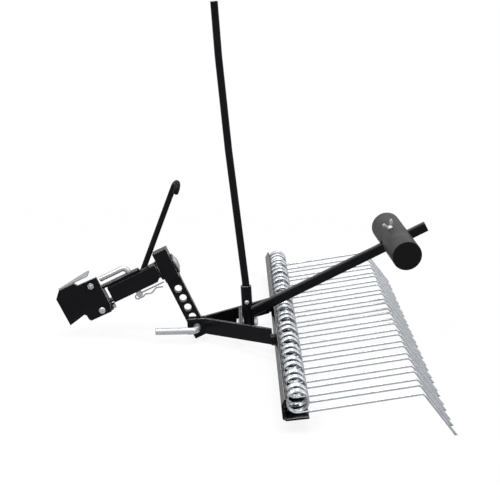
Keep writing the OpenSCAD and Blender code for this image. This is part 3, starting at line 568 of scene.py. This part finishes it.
# spring tines
def springTine():
    wire = {"diameter": 4.0, "coilOuter": 36.0, "turns": 3, "pitch": 4.5, "run": 184.0, "rise": 11.0,
            "drop": 50.3, "bend": 7.0, "loopHalf": 7.5, "nose": 6.0, "wallGap": 2.5, "bendSteps": 6,
            "turnSteps": 30, "loopSteps": 6, "sides": 12}
    radius = (wire["coilOuter"] - wire["diameter"]) / 2
    coilA = barSheet["thickness"] + wire["wallGap"] + wire["coilOuter"] / 2
    coilB = barSheet["thickness"] + tineRow["seat"] + wire["coilOuter"] / 2
    coil = onBar @ Vector((coilA * mm, 0, coilB * mm))
    tineHalf = wire["loopHalf"] + wire["turns"] * wire["pitch"]
    rise, drop = math.radians(wire["rise"]), math.radians(wire["drop"])
    slope = math.radians(slopes["bar"])
    leave = coil + Vector((math.sin(rise), 0, -math.cos(rise))) * radius * mm
    leave.y = -tineHalf * mm
    bend = leave + Vector((math.cos(rise), 0, math.sin(rise))) * wire["run"] * mm
    tip = bend + Vector((math.cos(drop), 0, -math.sin(drop))) * bend.z / math.sin(drop)
    path = roundCorners([tip, bend, leave], wire["bend"] * mm, wire["bendSteps"])[:-1]
    sweep = wire["turns"] * 2 * math.pi + rise - slope
    steps = wire["turns"] * wire["turnSteps"]
    for k in range(steps + 1):
        angle = -math.pi / 2 + rise - sweep * k / steps
        y = -tineHalf + wire["turns"] * wire["pitch"] * k / steps
        path.append(coil + Vector((radius * math.cos(angle), y, radius * math.sin(angle))) * mm)
    wireB = (barSheet["thickness"] + tineRow["seat"] + wire["diameter"] / 2) * mm
    loopMiddle = wire["nose"] + wire["loopHalf"]
    for k in range(wire["loopSteps"] + 1):
        angle = math.pi / 2 * k / wire["loopSteps"]
        flat = Vector(((loopMiddle - wire["loopHalf"] * math.sin(angle)) * mm,
                       -wire["loopHalf"] * math.cos(angle) * mm, wireB))
        path.append(onBar @ flat)
    path += [Vector((p.x, -p.y, p.z)) for p in reversed(path[:-1])]
    bm = bmesh.new()
    rings = sweepRod(bm, path, wire["diameter"] / 2 * mm, wire["sides"])
    heading = (bend - tip).normalized()
    for ring in (rings[0], rings[-1]):  # the tips are cut level with the lawn
        for vert in ring:
            vert.co -= heading * (vert.co.z / heading.z)
    return finishMesh("oneSpring", bm, springZinc)


springs = ["spring_%d" % i for i in range(1, tineRow["count"] + 1)]
rowAlongBar("springTines", springTine(), springZinc, "spring_wire", *springs)
print("rake: spring tines wound")


threadSlack = 0.15  # between a thread and its bore, in mm
neck = 0.4  # how far a shank runs into its head, in mm


def flatsOf(thread):
    return 1.5 * thread + 1


def nutHeightOf(thread):
    return 0.8 * thread


def placeNew(bm, before, place):
    # moves the points that were made after the first ones
    bm.verts.ensure_lookup_table()
    bmesh.ops.transform(bm, matrix=place, verts=bm.verts[before:])


def addNut(bm, thread, place, spin=0.0):
    before = len(bm.verts)
    hexBody(bm, flatsOf(thread) * mm, -nutHeightOf(thread) * mm, 0, (thread / 2 + threadSlack) * mm)
    placeNew(bm, before, place @ Matrix.Rotation(math.radians(spin), 4, "Z"))


def springFasteners():
    size = {"thread": 6.0, "pitch": 1.0, "head": 3.9, "tail": 1.0, "wire": 4.0, "clamp": 3.0, "noseGap": 0.5,
            "loopGap": 2.5}
    thread, flange = size["thread"], barSheet["thickness"]
    seat = flange + tineRow["seat"] + size["wire"] + size["clamp"]
    place = flange + size["noseGap"] + size["wire"] + size["loopGap"] + thread / 2
    spot = onBar @ Matrix.Translation((place * mm, 0, 0))
    bm = bmesh.new()
    hexBody(bm, flatsOf(thread) * mm, seat * mm, (seat + size["head"]) * mm)
    bm.transform(Matrix.Rotation(math.pi / 6, 4, "Z"))
    low = -nutHeightOf(thread) - size["tail"]
    threadedRod(bm, size, low, seat)
    bolt = finishMesh("oneBolt", bm, zinc, place=spot)
    bm = bmesh.new()
    addNut(bm, thread, spot)
    nut = finishMesh("oneNut", bm, zinc)
    rowAlongBar("springBolts", bolt, zinc, "zinc", "spring_bolts")
    rowAlongBar("springNuts", nut, zinc, "zinc", "spring_nuts")


springFasteners()


# plates and tubes: the CAD shapes with softened edges
def foldSheet(bm):
    # the bar is folded from sheet, so its corner is round outside and inside
    fold = {"outer": 5.0, "reach": 0.2, "segments": 6}
    toBar = onBar.inverted()
    thick = barSheet["thickness"]
    for corner, radius in (((thick, thick), fold["outer"] - thick), ((0.0, 0.0), fold["outer"])):
        spot = Vector((corner[0] * mm, 0, corner[1] * mm))
        onCorner = {vert for vert in bm.verts
                    if ((toBar @ vert.co) * Vector((1, 0, 1)) - spot).length < fold["reach"] * mm}
        edges = [edge for edge in bm.edges if edge.verts[0] in onCorner and edge.verts[1] in onCorner]
        bmesh.ops.bevel(bm, geom=edges, offset=radius * mm, offset_type="OFFSET", affect="EDGES",
                        segments=fold["segments"], profile=0.5)


flatSided = {"weight_arm": 8.0, "drawbar": 8.0}  # square tubes, whose long faces would shade as round


def softenNode(node, body, slotName, width):
    edge = {"segments": 2, "angle": 35.0, "merge": 2e-6, "level": 0.6, "flatWeight": 100}
    source = frame["nodes"][node]
    bm = bmesh.new()
    bm.from_mesh(source.data)
    bm.transform(source.matrix_world)
    bmesh.ops.remove_doubles(bm, verts=bm.verts, dist=edge["merge"])
    bmesh.ops.dissolve_limit(bm, angle_limit=math.radians(edge["level"]), verts=bm.verts, edges=bm.edges)
    if node == "tine_bar":
        foldSheet(bm)
    piece = finishMesh(node + "Soft", bm, slotLook[slotName], edge["angle"])
    bevel = piece.modifiers.new("edges", "BEVEL")
    bevel.width = width * mm
    bevel.segments = edge["segments"]
    bevel.limit_method = "ANGLE"
    bevel.angle_limit = math.radians(edge["angle"])
    settle(piece)
    piece.data.set_sharp_from_angle(angle=math.radians(flatSided.get(node, edge["angle"])))
    flatten = piece.modifiers.new("flats", "WEIGHTED_NORMAL")  # flat faces stay flat beside rounded corners
    flatten.mode = "FACE_AREA"
    flatten.weight = edge["flatWeight"]
    flatten.keep_sharp = True
    settle(piece)
    standFor(piece, body, slotName, node)


softEdges = {"rake": {"tine_bar": 0.7, "frame_leg_right": 0.8, "frame_leg_left": 0.8, "cross_plate": 0.6,
                      "cross_washer": 0.4, "lever_socket": 0.5, "weight_arm": 0.3, "spring_clamps": 0.4},
             "height_bar": {"height_bar": 0.9, "pivot_block": 0.9},
             "drawbar": {"drawbar": 0.3, "roll_washer_front": 0.5, "roll_washer_rear": 0.5},
             "hitch": {"hitch_strap": 0.7, "side_plate": 0.6, "gusset_plate": 0.5, "clamp_plate": 0.6},
             "counterweight": {"counterweight": 0.4}}
slotOf = {entry["node"]: entry["material_slot"] for entry in frame["record"]["subparts"]}
for body, nodes in softEdges.items():
    for node, width in nodes.items():
        softenNode(node, body, slotOf[node], width)
print("rake: plates and tubes softened")


# lift lever
def liftLever():
    tube = {"outer": 13.0, "wall": 2.0, "depth": 42.0, "foot": 4.0, "low": 238.0, "mid": 163.0, "top": 93.0,
            "leans": (5.5, 9.2, 8.0, 6.5), "bend": 260.0, "bendSteps": 5, "sides": 48}
    low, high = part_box("lever")
    headings = []
    for lean in tube["leans"]:
        headings.append(Vector((-math.sin(math.radians(lean)), 0, math.cos(math.radians(lean)))))
    lengths = (tube["depth"] + tube["foot"], tube["low"], tube["mid"], tube["top"])
    radius = tube["outer"] / 2 * mm
    corners = [Vector((low.x + radius * headings[-1].z, 0, high.z + radius * headings[-1].x))]
    for heading, length in zip(reversed(headings), reversed(lengths)):
        corners.append(corners[-1] - heading * length * mm)
    path = roundCorners(corners[::-1], tube["bend"] * mm, tube["bendSteps"])
    bm = bmesh.new()
    outer = sweepRings(bm, path, [radius] * len(path), tube["sides"])
    inner = sweepRings(bm, path, [radius - tube["wall"] * mm] * len(path), tube["sides"])
    skinRings(bm, outer, capped=False)
    skinRings(bm, inner, capped=False)
    bridge(bm, outer[0], inner[0])
    bridge(bm, outer[-1], inner[-1])
    standFor(finishMesh("liftLever", bm, black), "rake", "black_paint", "lever")


liftLever()


# round rods: the hook, the two cranked pins and the clip
def hookRod():
    rod = {"diameter": 10.0, "length": 149.5, "turn": 12.0, "sweep": 165.0, "side": 105.0, "tail": 9.0,
           "base": (-36.4, 18.0), "deck": 15.0, "turnSteps": 18, "sides": 32, "groundLength": 2.2,
           "ground": ((1.0, 0.94), (0.45, 0.8), (0.1, 0.55)), "tip": 0.3}
    angle = math.radians(slopes["hook"])
    side = math.radians(rod["side"])
    sweep = math.radians(rod["sweep"])
    ahead = Vector((math.cos(angle), 0, math.sin(angle)))
    over = Vector((-math.sin(angle) * math.cos(side), -math.sin(side), math.cos(angle) * math.cos(side)))
    base = Vector((rod["base"][0], 0, rod["base"][1]))
    middle = base + ahead * rod["length"] + over * rod["turn"]
    path = [base]
    for k in range(rod["turnSteps"] + 1):
        turn = sweep * k / rod["turnSteps"]
        path.append(middle + rod["turn"] * (math.sin(turn) * ahead - math.cos(turn) * over))
    path.append(path[-1] + rod["tail"] * (math.cos(sweep) * ahead + math.sin(sweep) * over))
    path = [p * mm for p in path]
    radius = rod["diameter"] / 2 * mm
    tailHeading = (path[-1] - path[-2]).normalized()
    radii = [radius] * len(path)
    for back, share in rod["ground"]:  # the rod's end is ground round
        path.insert(-1, path[-1] - tailHeading * back * rod["groundLength"] * mm)
        radii.insert(-1, radius * share)
    radii[-1] = radius * rod["tip"]
    bm = bmesh.new()
    rings = sweepRings(bm, path, radii, rod["sides"])
    skinRings(bm, rings)
    for vert in rings[0]:
        vert.co -= ahead * ((vert.co.z - rod["deck"] * mm) / ahead.z)
    standFor(finishMesh("hookRod", bm, black, place=onTow), "drawbar", "black_paint", "hook_rod")


def bentRod(name, rod, corners, place):
    # a round rod through its corners, with bevelled ends
    path = roundCorners([Vector(corner) * mm for corner in corners], rod["turn"] * mm, rod["turnSteps"])
    bm = bmesh.new()
    sweepRod(bm, path, rod["diameter"] / 2 * mm, rod["sides"], rod["chamfer"] * mm)
    return finishMesh(name, bm, zinc, place=place)


def liftPin():
    rod = {"diameter": 12.0, "handle": 72.0, "elbow": -39.3, "tip": 18.3, "turn": 13.0, "dip": 3.0,
           "turnSteps": 10, "sides": 32, "chamfer": 0.8}
    corners = [(-rod["handle"], rod["elbow"], 0), (0, rod["elbow"], 0), (0, rod["tip"], 0)]
    pin = bentRod("liftPin", rod, corners, Matrix.Translation(pivotSpot) @ turnUp(rod["dip"]))
    standFor(pin, "lift_pin", "zinc", "lift_pin")


def hitchPin():
    rod = {"diameter": 10.0, "foot": -27.4, "bend": 32.0, "handle": 51.0, "turn": 9.0, "turnSteps": 10,
           "sides": 32, "chamfer": 0.8}
    corners = [(0, 0, rod["foot"]), (0, 0, rod["bend"]), (-rod["handle"], 0, rod["bend"])]
    standFor(bentRod("hitchPin", rod, corners, onHitchPin), "drawbar", "zinc", "hitch_pin")


def hitchClip():
    wire = {"diameter": 2.5, "height": -22.0, "rear": 48.0, "loop": 3.9, "loopSteps": 16, "bend": 5.0,
            "bendSteps": 5, "sides": 16, "chamfer": 0.3,
            "wave": ((-5.4, 0.0), (4.8, 0.0), (8.6, 2.7), (20.0, -0.9), (31.0, 4.6), (43.0, 0.8))}
    top, front = wire["height"], wire["wave"][0][0]
    path = [Vector((wire["rear"], 0, top)), Vector((front, 0, top))]
    for k in range(1, wire["loopSteps"]):
        angle = math.pi / 2 + math.pi * k / wire["loopSteps"]
        across, rise = wire["loop"] * math.cos(angle), wire["loop"] * math.sin(angle)
        path.append(Vector((front + across, 0, top - wire["loop"] + rise)))
    low = top - 2 * wire["loop"]
    path += roundCorners([Vector((x, 0, low + rise)) for x, rise in wire["wave"]], wire["bend"],
                         wire["bendSteps"])
    bm = bmesh.new()
    sweepRod(bm, [p * mm for p in path], wire["diameter"] / 2 * mm, wire["sides"], wire["chamfer"] * mm)
    standFor(finishMesh("hitchClip", bm, zinc, place=onHitchPin), "drawbar", "zinc", "hitch_clip")


hookRod()
liftPin()
hitchPin()
hitchClip()
print("rake: rods and pins bent")

# bolts and nuts with turned corners and threads
alongX = Matrix.Rotation(math.pi / 2, 4, "Y")
alongY = Matrix.Rotation(-math.pi / 2, 4, "X")
toFront = Matrix.Rotation(-math.pi / 2, 4, "Y")
toNear = Matrix.Rotation(math.pi / 2, 4, "X")


def rollHardware():
    size = {"thread": 16.0, "pitch": 2.0, "half": 13.0, "washer": 3.0, "nut": 4.0, "round": 13.5,
            "crown": ((0.0, 0.0), (0.0, 1.2), (0.9, 2.1), (2.6, 3.0), (4.2, 3.7)),
            "lip": 0.6, "lipDepth": 0.5, "head": 12.5, "headHeight": 8.0, "headEdge": 0.6, "flange": 4.0,
            "tail": 0.5, "nutSegments": 48, "boltSegments": 40, "smoothAngle": 30.0}
    face = size["half"] + size["washer"]
    bore = size["thread"] / 2 + threadSlack
    profile = [(bore, 0.0)]
    profile += [(size["round"] - inward, height) for inward, height in size["crown"]]
    profile += [(bore + size["lip"], size["nut"]), (bore, size["nut"] - size["lipDepth"]), (bore, 0.0)]
    bm = bmesh.new()
    lathe(bm, inMetres([(radius, face + height) for radius, height in profile]), size["nutSegments"])
    bmesh.ops.remove_doubles(bm, verts=bm.verts, dist=1e-7)
    nut = finishMesh("rollNut", bm, zinc, size["smoothAngle"], onTow @ alongX)
    standFor(nut, "drawbar", "zinc", "roll_nut")
    start = -size["half"] - size["flange"]
    end = face + size["nut"] + size["tail"]
    bm = bmesh.new()
    threadedRod(bm, size, start, end, size["boltSegments"])
    low = start - size["headHeight"]
    head = [(0, low), (size["head"] - size["headEdge"], low), (size["head"], low + size["headEdge"]),
            (size["head"], start), (0, start)]
    lathe(bm, inMetres(head), size["boltSegments"])
    standFor(finishMesh("rollBolt", bm, zinc, place=onTow @ alongX), "drawbar", "zinc", "roll_bolt")


def domedBolt(bm, size, place):
    # a bolt with a round head above its seat and a threaded shank below it
    dome = ((0, 1), (0.35, 0.97), (0.66, 0.85), (0.87, 0.62), (1, 0.25), (1, 0), (0, 0))
    segments = 32
    head = [(size["headWidth"] / 2 * out, size["headHeight"] * up) for out, up in dome]
    before = len(bm.verts)
    lathe(bm, inMetres(head), segments)
    threadedRod(bm, size, -size["length"], neck)
    placeNew(bm, before, place)


def crossFasteners():
    size = {"thread": 8.0, "pitch": 1.25, "head": 5.2, "length": 32.8, "spin": 12.0, "nutSpin": -8.0}
    bm = bmesh.new()
    hexBody(bm, flatsOf(size["thread"]) * mm, 0, size["head"] * mm)
    bm.transform(Matrix.Rotation(math.radians(size["spin"]), 4, "Z"))
    threadedRod(bm, size, -size["length"], neck)
    standFor(finishMesh("crossBolt", bm, zinc, place=onCross @ toFront), "rake", "zinc", "cross_bolt")
    bm = bmesh.new()
    seat = onCross @ Matrix.Translation((crossStack["nutSeat"] * mm, 0, 0)) @ toFront
    addNut(bm, size["thread"], seat, size["nutSpin"])
    standFor(finishMesh("crossNut", bm, zinc), "rake", "zinc", "cross_nut")


def leverFasteners():
    size = {"thread": 5.0, "pitch": 0.8, "headWidth": 8.0, "headHeight": 3.25, "length": 24.0, "rise": 38.0,
            "half": 9.5, "nutSpin": 10.0}
    bm = bmesh.new()
    domedBolt(bm, size, onSocket @ Matrix.Translation((0, -size["half"] * mm, size["rise"] * mm)) @ toNear)
    standFor(finishMesh("leverBolt", bm, zinc), "rake", "zinc", "lever_bolt")
    bm = bmesh.new()
    seat = onSocket @ Matrix.Translation((0, size["half"] * mm, size["rise"] * mm)) @ toNear
    addNut(bm, size["thread"], seat, size["nutSpin"])
    standFor(finishMesh("leverNut", bm, zinc), "rake", "zinc", "lever_nut")


def clampFasteners():
    size = {"thread": 6.0, "pitch": 1.0, "headWidth": 12.0, "headHeight": 3.0, "length": 26.8, "near": -15.0,
            "far": 5.0, "low": (-135.8, 100.6), "high": (-133.6, 148.6), "spins": (5.0, 14.0)}

    def seatOn(end, y, facing):
        return onUnit @ Matrix.Translation((end[0] * mm, y * mm, end[1] * mm)) @ facing

    bm = bmesh.new()
    domedBolt(bm, size, seatOn(size["low"], size["near"], toNear))
    domedBolt(bm, size, seatOn(size["high"], size["far"], alongY))
    standFor(finishMesh("clampBolts", bm, zinc), "hitch", "zinc", "clamp_bolts")
    bm = bmesh.new()
    addNut(bm, size["thread"], seatOn(size["low"], size["far"], toNear), size["spins"][0])
    addNut(bm, size["thread"], seatOn(size["high"], size["near"], alongY), size["spins"][1])
    standFor(finishMesh("clampNuts", bm, zinc), "hitch", "zinc", "clamp_nuts")


def strapFasteners():
    size = {"thread": 6.0, "pitch": 1.0, "height": 97.0, "web": -118.0, "plates": 10.0, "end": 15.3,
            "key": 2.1, "keyDepth": 1.7, "sunk": 3.0, "edge": (0.3, 0.2), "overlap": 0.3, "nutSpin": 20.0,
            "segments": 32}
    half = size["thread"] / 2
    bm = bmesh.new()
    head = [(0, size["keyDepth"]), (size["key"], size["keyDepth"]), (size["key"], 0.0),
            (2 * half - size["edge"][0], 0.0), (2 * half, size["edge"][1]), (half, size["sunk"]),
            (half, size["sunk"] + neck), (0, size["sunk"] + neck)]
    lathe(bm, inMetres(head), size["segments"])
    threadedRod(bm, size, size["sunk"] - size["overlap"], size["end"])
    front = Matrix.Translation(((size["web"] - size["plates"]) * mm, 0, size["height"] * mm))
    bolt = finishMesh("strapBolt", bm, zinc, place=onUnit @ front @ alongX)
    standFor(bolt, "hitch", "zinc", "strap_bolt")
    bm = bmesh.new()
    rear = Matrix.Translation((size["web"] * mm, 0, size["height"] * mm))
    addNut(bm, size["thread"], onUnit @ rear @ toFront, size["nutSpin"])
    standFor(finishMesh("strapNut", bm, zinc), "hitch", "zinc", "strap_nut")


def wingScrew():
    size = {"thread": 8.0, "pitch": 1.25, "start": 9.2, "top": 26.5, "overlap": 0.6, "hub": 10.4,
            "turn": 12.0, "thickness": 3.0, "wingRound": 0.8, "wingSteps": 4,
            "hubEdge": ((0.5, 0.0), (0.0, 0.5), (0.2, 3.2), (1.4, 4.6), (2.6, 5.0)), "hubSegments": 32,
            "wing": ((2.0, 1.0), (5.6, 3.0), (9.95, 9.1), (9.6, 13.95), (6.0, 13.95), (2.0, 6.3)),
            "swell": ((0.0, 0.80), (0.25, 0.92), (0.8, 1.0))}
    half, top = size["thickness"] / 2, size["top"]
    corners = [Vector((x, 0, z)) for x, z in size["wing"]]
    seam = (corners[0] + corners[-1]) / 2
    outline = roundCorners([seam] + corners + [seam], size["wingRound"], size["wingSteps"])[:-1]
    middle = sum(outline, Vector()) / len(outline)
    layers = [(-half + depth, scale) for depth, scale in size["swell"]]
    layers += [(half - depth, scale) for depth, scale in reversed(size["swell"])]
    bm = bmesh.new()
    for side in (-1, 1):
        rings = []
        for depth, scale in layers:
            ring = []
            for point in outline:
                spot = middle + (point - middle) * scale
                ring.append(bm.verts.new((side * spot.x * mm, depth * mm, (top + spot.z) * mm)))
            rings.append(ring)
        skinRings(bm, rings)
    bm.transform(Matrix.Rotation(math.radians(size["turn"]), 4, "Z"))
    edge = [(size["hub"] / 2 - inward, top + height) for inward, height in size["hubEdge"]]
    lathe(bm, inMetres([(0, edge[0][1])] + edge + [(0, edge[-1][1])]), size["hubSegments"])
    threadedRod(bm, size, size["start"], top + size["overlap"])
    standFor(finishMesh("wingScrew", bm, zinc, place=onWeight), "wing_screw", "zinc", "wing_screw")


rollHardware()
crossFasteners()
leverFasteners()
clampFasteners()
strapFasteners()
wingScrew()
print("rake: fasteners turned")


# weld seams, laid where the black pieces meet
def seamPaths():
    # each body's seams, as lines in the place they belong to
    seam = {"blockX": 12.0, "blockY": 5.7, "blockZ": 94.4, "flange": -17.6, "boxOut": 15.3, "boxHalf": 7.0,
            "hook": -39.55, "hookRound": 5.6, "hookSteps": 24, "deck": 15.4, "legIn": 5.3, "legOut": 106.0,
            "legStraight": 15.0, "plateHalf": 12.0, "plateFront": (-0.7, -1.6), "plateRear": (5.7, 2.4),
            "foot": (-0.9, 122.6), "footLow": 9.5, "footHigh": 23.0, "gusset": (-186.0, -160.0, -10.3, 165.4)}
    hookLong = seam["hookRound"] / math.sin(math.radians(slopes["hook"]))
    hookRing = []
    for angle in roundAngles(seam["hookSteps"]) + [2 * math.pi]:
        hookRing.append((seam["hook"] + hookLong * math.cos(angle), seam["hookRound"] * math.sin(angle),
                         seam["deck"]))
    legShare = (crossStack["reach"] - seam["legStraight"]) / (legHeading.length / mm - seam["legStraight"])
    inner = seam["legIn"] + (seam["legOut"] - seam["legIn"]) * legShare
    block, drawbar, rake = [], [], []
    for side in (-1, 1):
        y = side * seam["blockY"]
        block.append((onUnit, [(-seam["blockX"], y, seam["blockZ"]), (seam["blockX"], y, seam["blockZ"])]))
        y = side * seam["boxOut"]
        drawbar.append((onTow, [(seam["flange"], y, -seam["boxHalf"]), (seam["flange"], y, seam["boxHalf"])]))
        for x, out in (seam["plateFront"], seam["plateRear"]):
            y = side * (inner + out)
            rake.append((onCross, [(x, y, -seam["plateHalf"]), (x, y, seam["plateHalf"])]))
        x, y = seam["foot"][0], side * seam["foot"][1]
        rake.append((onBar, [(x, y, seam["footLow"]), (x, y, seam["footHigh"])]))
    drawbar.append((onTow, [(seam["flange"], -seam["boxHalf"], seam["boxOut"]),
                            (seam["flange"], seam["boxHalf"], seam["boxOut"])]))
    drawbar.append((onTow, hookRing))
    toe, heel, y, z = seam["gusset"]
    hitch = [(onUnit, [(toe, y, z), (heel, y, z)])]
    return {"height_bar": block, "drawbar": drawbar, "rake": rake, "hitch": hitch}


def weldSeams():
    bead = {"Spacing": 1.3 * mm, "Width": 1.5 * mm, "Seed": 4, "Finish": black}
    for body, lines in seamPaths().items():
        bm = bmesh.new()
        for place, points in lines:
            verts = [bm.verts.new(place @ (Vector(point) * mm)) for point in points]
            for first, second in zip(verts, verts[1:]):
                bm.edges.new((first, second))
        mesh = bpy.data.meshes.new(body + "Weld")
        bm.to_mesh(mesh)
        bm.free()
        holder = newObject(mesh.name, mesh)
        runTree(holder, weldTree, bead)
        standFor(holder, body, "black_paint")


weldSeams()
print("rake: weld seams laid")


# light, floor and camera
def backgroundRays(tree):
    # the rays that see the white ground, and the glossy ones
    ray = addNode(tree, "ShaderNodeLightPath")
    seen = mathOf(tree, "MAXIMUM", ray.outputs["Is Camera Ray"], ray.outputs["Is Transmission Ray"])
    return seen, ray.outputs["Is Glossy Ray"]


def whiteWhere(tree, seen, level):
    # a strength of one where the picture sees it, else the level that glossy rays meet
    return mathOf(tree, "MULTIPLY_ADD", mathOf(tree, "SUBTRACT", 1.0, seen), level, seen)


def mixShaders(tree, factor, first, second, output):
    mix = addNode(tree, "ShaderNodeMixShader")
    tree.links.new(factor, mix.inputs["Fac"])
    tree.links.new(first.outputs[0], mix.inputs[1])
    tree.links.new(second.outputs[0], mix.inputs[2])
    tree.links.new(mix.outputs[0], tree.nodes[output].inputs["Surface"])


def paleFloor():
    look = {"half": 9.0, "colour": (0.92, 0.92, 0.92), "roughness": 0.85, "specular": 0.1, "glow": 0.86,
            "near": 0.7, "far": 1.5, "ahead": -0.62, "under": -0.3, "aheadLevel": 0.5, "underLevel": 0.55}
    bm = bmesh.new()
    bmesh.ops.create_grid(bm, x_segments=1, y_segments=1, size=look["half"])
    material, tree, shader, spot = startMaterial("paleFloor")
    shader.inputs["Roughness"].default_value = look["roughness"]
    shader.inputs["Base Color"].default_value = (*look["colour"], 1.0)
    shader.inputs["Specular IOR Level"].default_value = look["specular"]
    seen, glossy = backgroundRays(tree)
    reach = addNode(tree, "ShaderNodeVectorMath", settings={"operation": "LENGTH"})
    tree.links.new(spot, reach.inputs[0])
    paler = rangeOf(tree, reach.outputs["Value"], look["near"], look["far"], look["glow"], 1.0)
    parts = addNode(tree, "ShaderNodeSeparateXYZ")
    tree.links.new(spot, parts.inputs["Vector"])
    sweep = rangeOf(tree, parts.outputs["Y"], look["ahead"], look["under"], look["aheadLevel"],
                    look["underLevel"])
    glow = addNode(tree, "ShaderNodeEmission", inputs={"Color": (1, 1, 1, 1)})
    tree.links.new(whiteWhere(tree, seen, sweep), glow.inputs["Strength"])
    through = mathOf(tree, "MAXIMUM", mathOf(tree, "MULTIPLY", seen, paler), glossy)
    mixShaders(tree, through, shader, glow, "Material Output")
    finishMesh("floor", bm, material)


def studioWorld():
    look = {"fill": 0.45, "wall": 0.5, "ceiling": 1.2, "wallTop": 0.1, "ceilingFrom": 0.6}
    world = bpy.data.worlds.new("studio")
    bpy.context.scene.world = world
    world.use_nodes = True
    tree = world.node_tree
    base = tree.nodes["Background"]
    base.inputs["Color"].default_value = (1, 1, 1, 1)
    base.inputs["Strength"].default_value = look["fill"]
    white = addNode(tree, "ShaderNodeBackground", inputs={"Color": (1, 1, 1, 1)})
    seen, glossy = backgroundRays(tree)
    heading = addNode(tree, "ShaderNodeTexCoord")
    parts = addNode(tree, "ShaderNodeSeparateXYZ")
    tree.links.new(heading.outputs["Generated"], parts.inputs["Vector"])
    sweep = rangeOf(tree, parts.outputs["Z"], look["wallTop"], look["ceilingFrom"], look["wall"],
                    look["ceiling"])
    tree.links.new(whiteWhere(tree, seen, sweep), white.inputs["Strength"])
    mixShaders(tree, mathOf(tree, "MAXIMUM", seen, glossy), base, white, "World Output")


def addLamp(name, spot, size, power):
    aim = Vector((0, 0, 0.1))
    lamp = bpy.data.lights.new(name, "AREA")
    lamp.shape = "DISK"
    lamp.size = size
    lamp.energy = power
    holder = newObject(name, lamp)
    holder.location = spot
    holder.rotation_euler = (aim - Vector(spot)).to_track_quat("-Z", "Y").to_euler()


def placeCamera():
    shot = {"spot": (-40.7, -2582.8, 716.2), "aim": (13.1, 0.0, 162.6), "azimuth": 0.75, "roll": 2.07,
            "focalPixels": 1508.0, "framePixels": 500.0, "sensor": 36.0}
    camera = bpy.data.cameras.new("photoCamera")
    camera.sensor_width = shot["sensor"]
    camera.lens = shot["focalPixels"] / shot["framePixels"] * shot["sensor"]
    holder = newObject("photoCamera", camera)
    azimuth, roll = math.radians(shot["azimuth"]), math.radians(shot["roll"])
    spot = Vector(shot["spot"])
    ahead = (Vector(shot["aim"]) - spot).normalized()
    right = Vector((math.cos(azimuth) * math.cos(roll), -math.sin(azimuth),
                    math.cos(azimuth) * math.sin(roll)))
    right = (right - ahead * right.dot(ahead)).normalized()
    turn = Matrix((right, right.cross(ahead), -ahead)).transposed()
    holder.matrix_world = Matrix.Translation(spot * mm) @ turn.to_4x4()
    bpy.context.scene.camera = holder


paleFloor()
studioWorld()
addLamp("keyLamp", (-1.4, -1.8, 2.6), 1.5, 48.0)
addLamp("fillLamp", (1.9, -1.2, 1.7), 1.3, 14.0)
addLamp("topLamp", (0.2, 0.1, 2.9), 1.3, 36.0)
placeCamera()
bpy.context.scene.view_settings.view_transform = "Standard"
print("rake: studio lit")
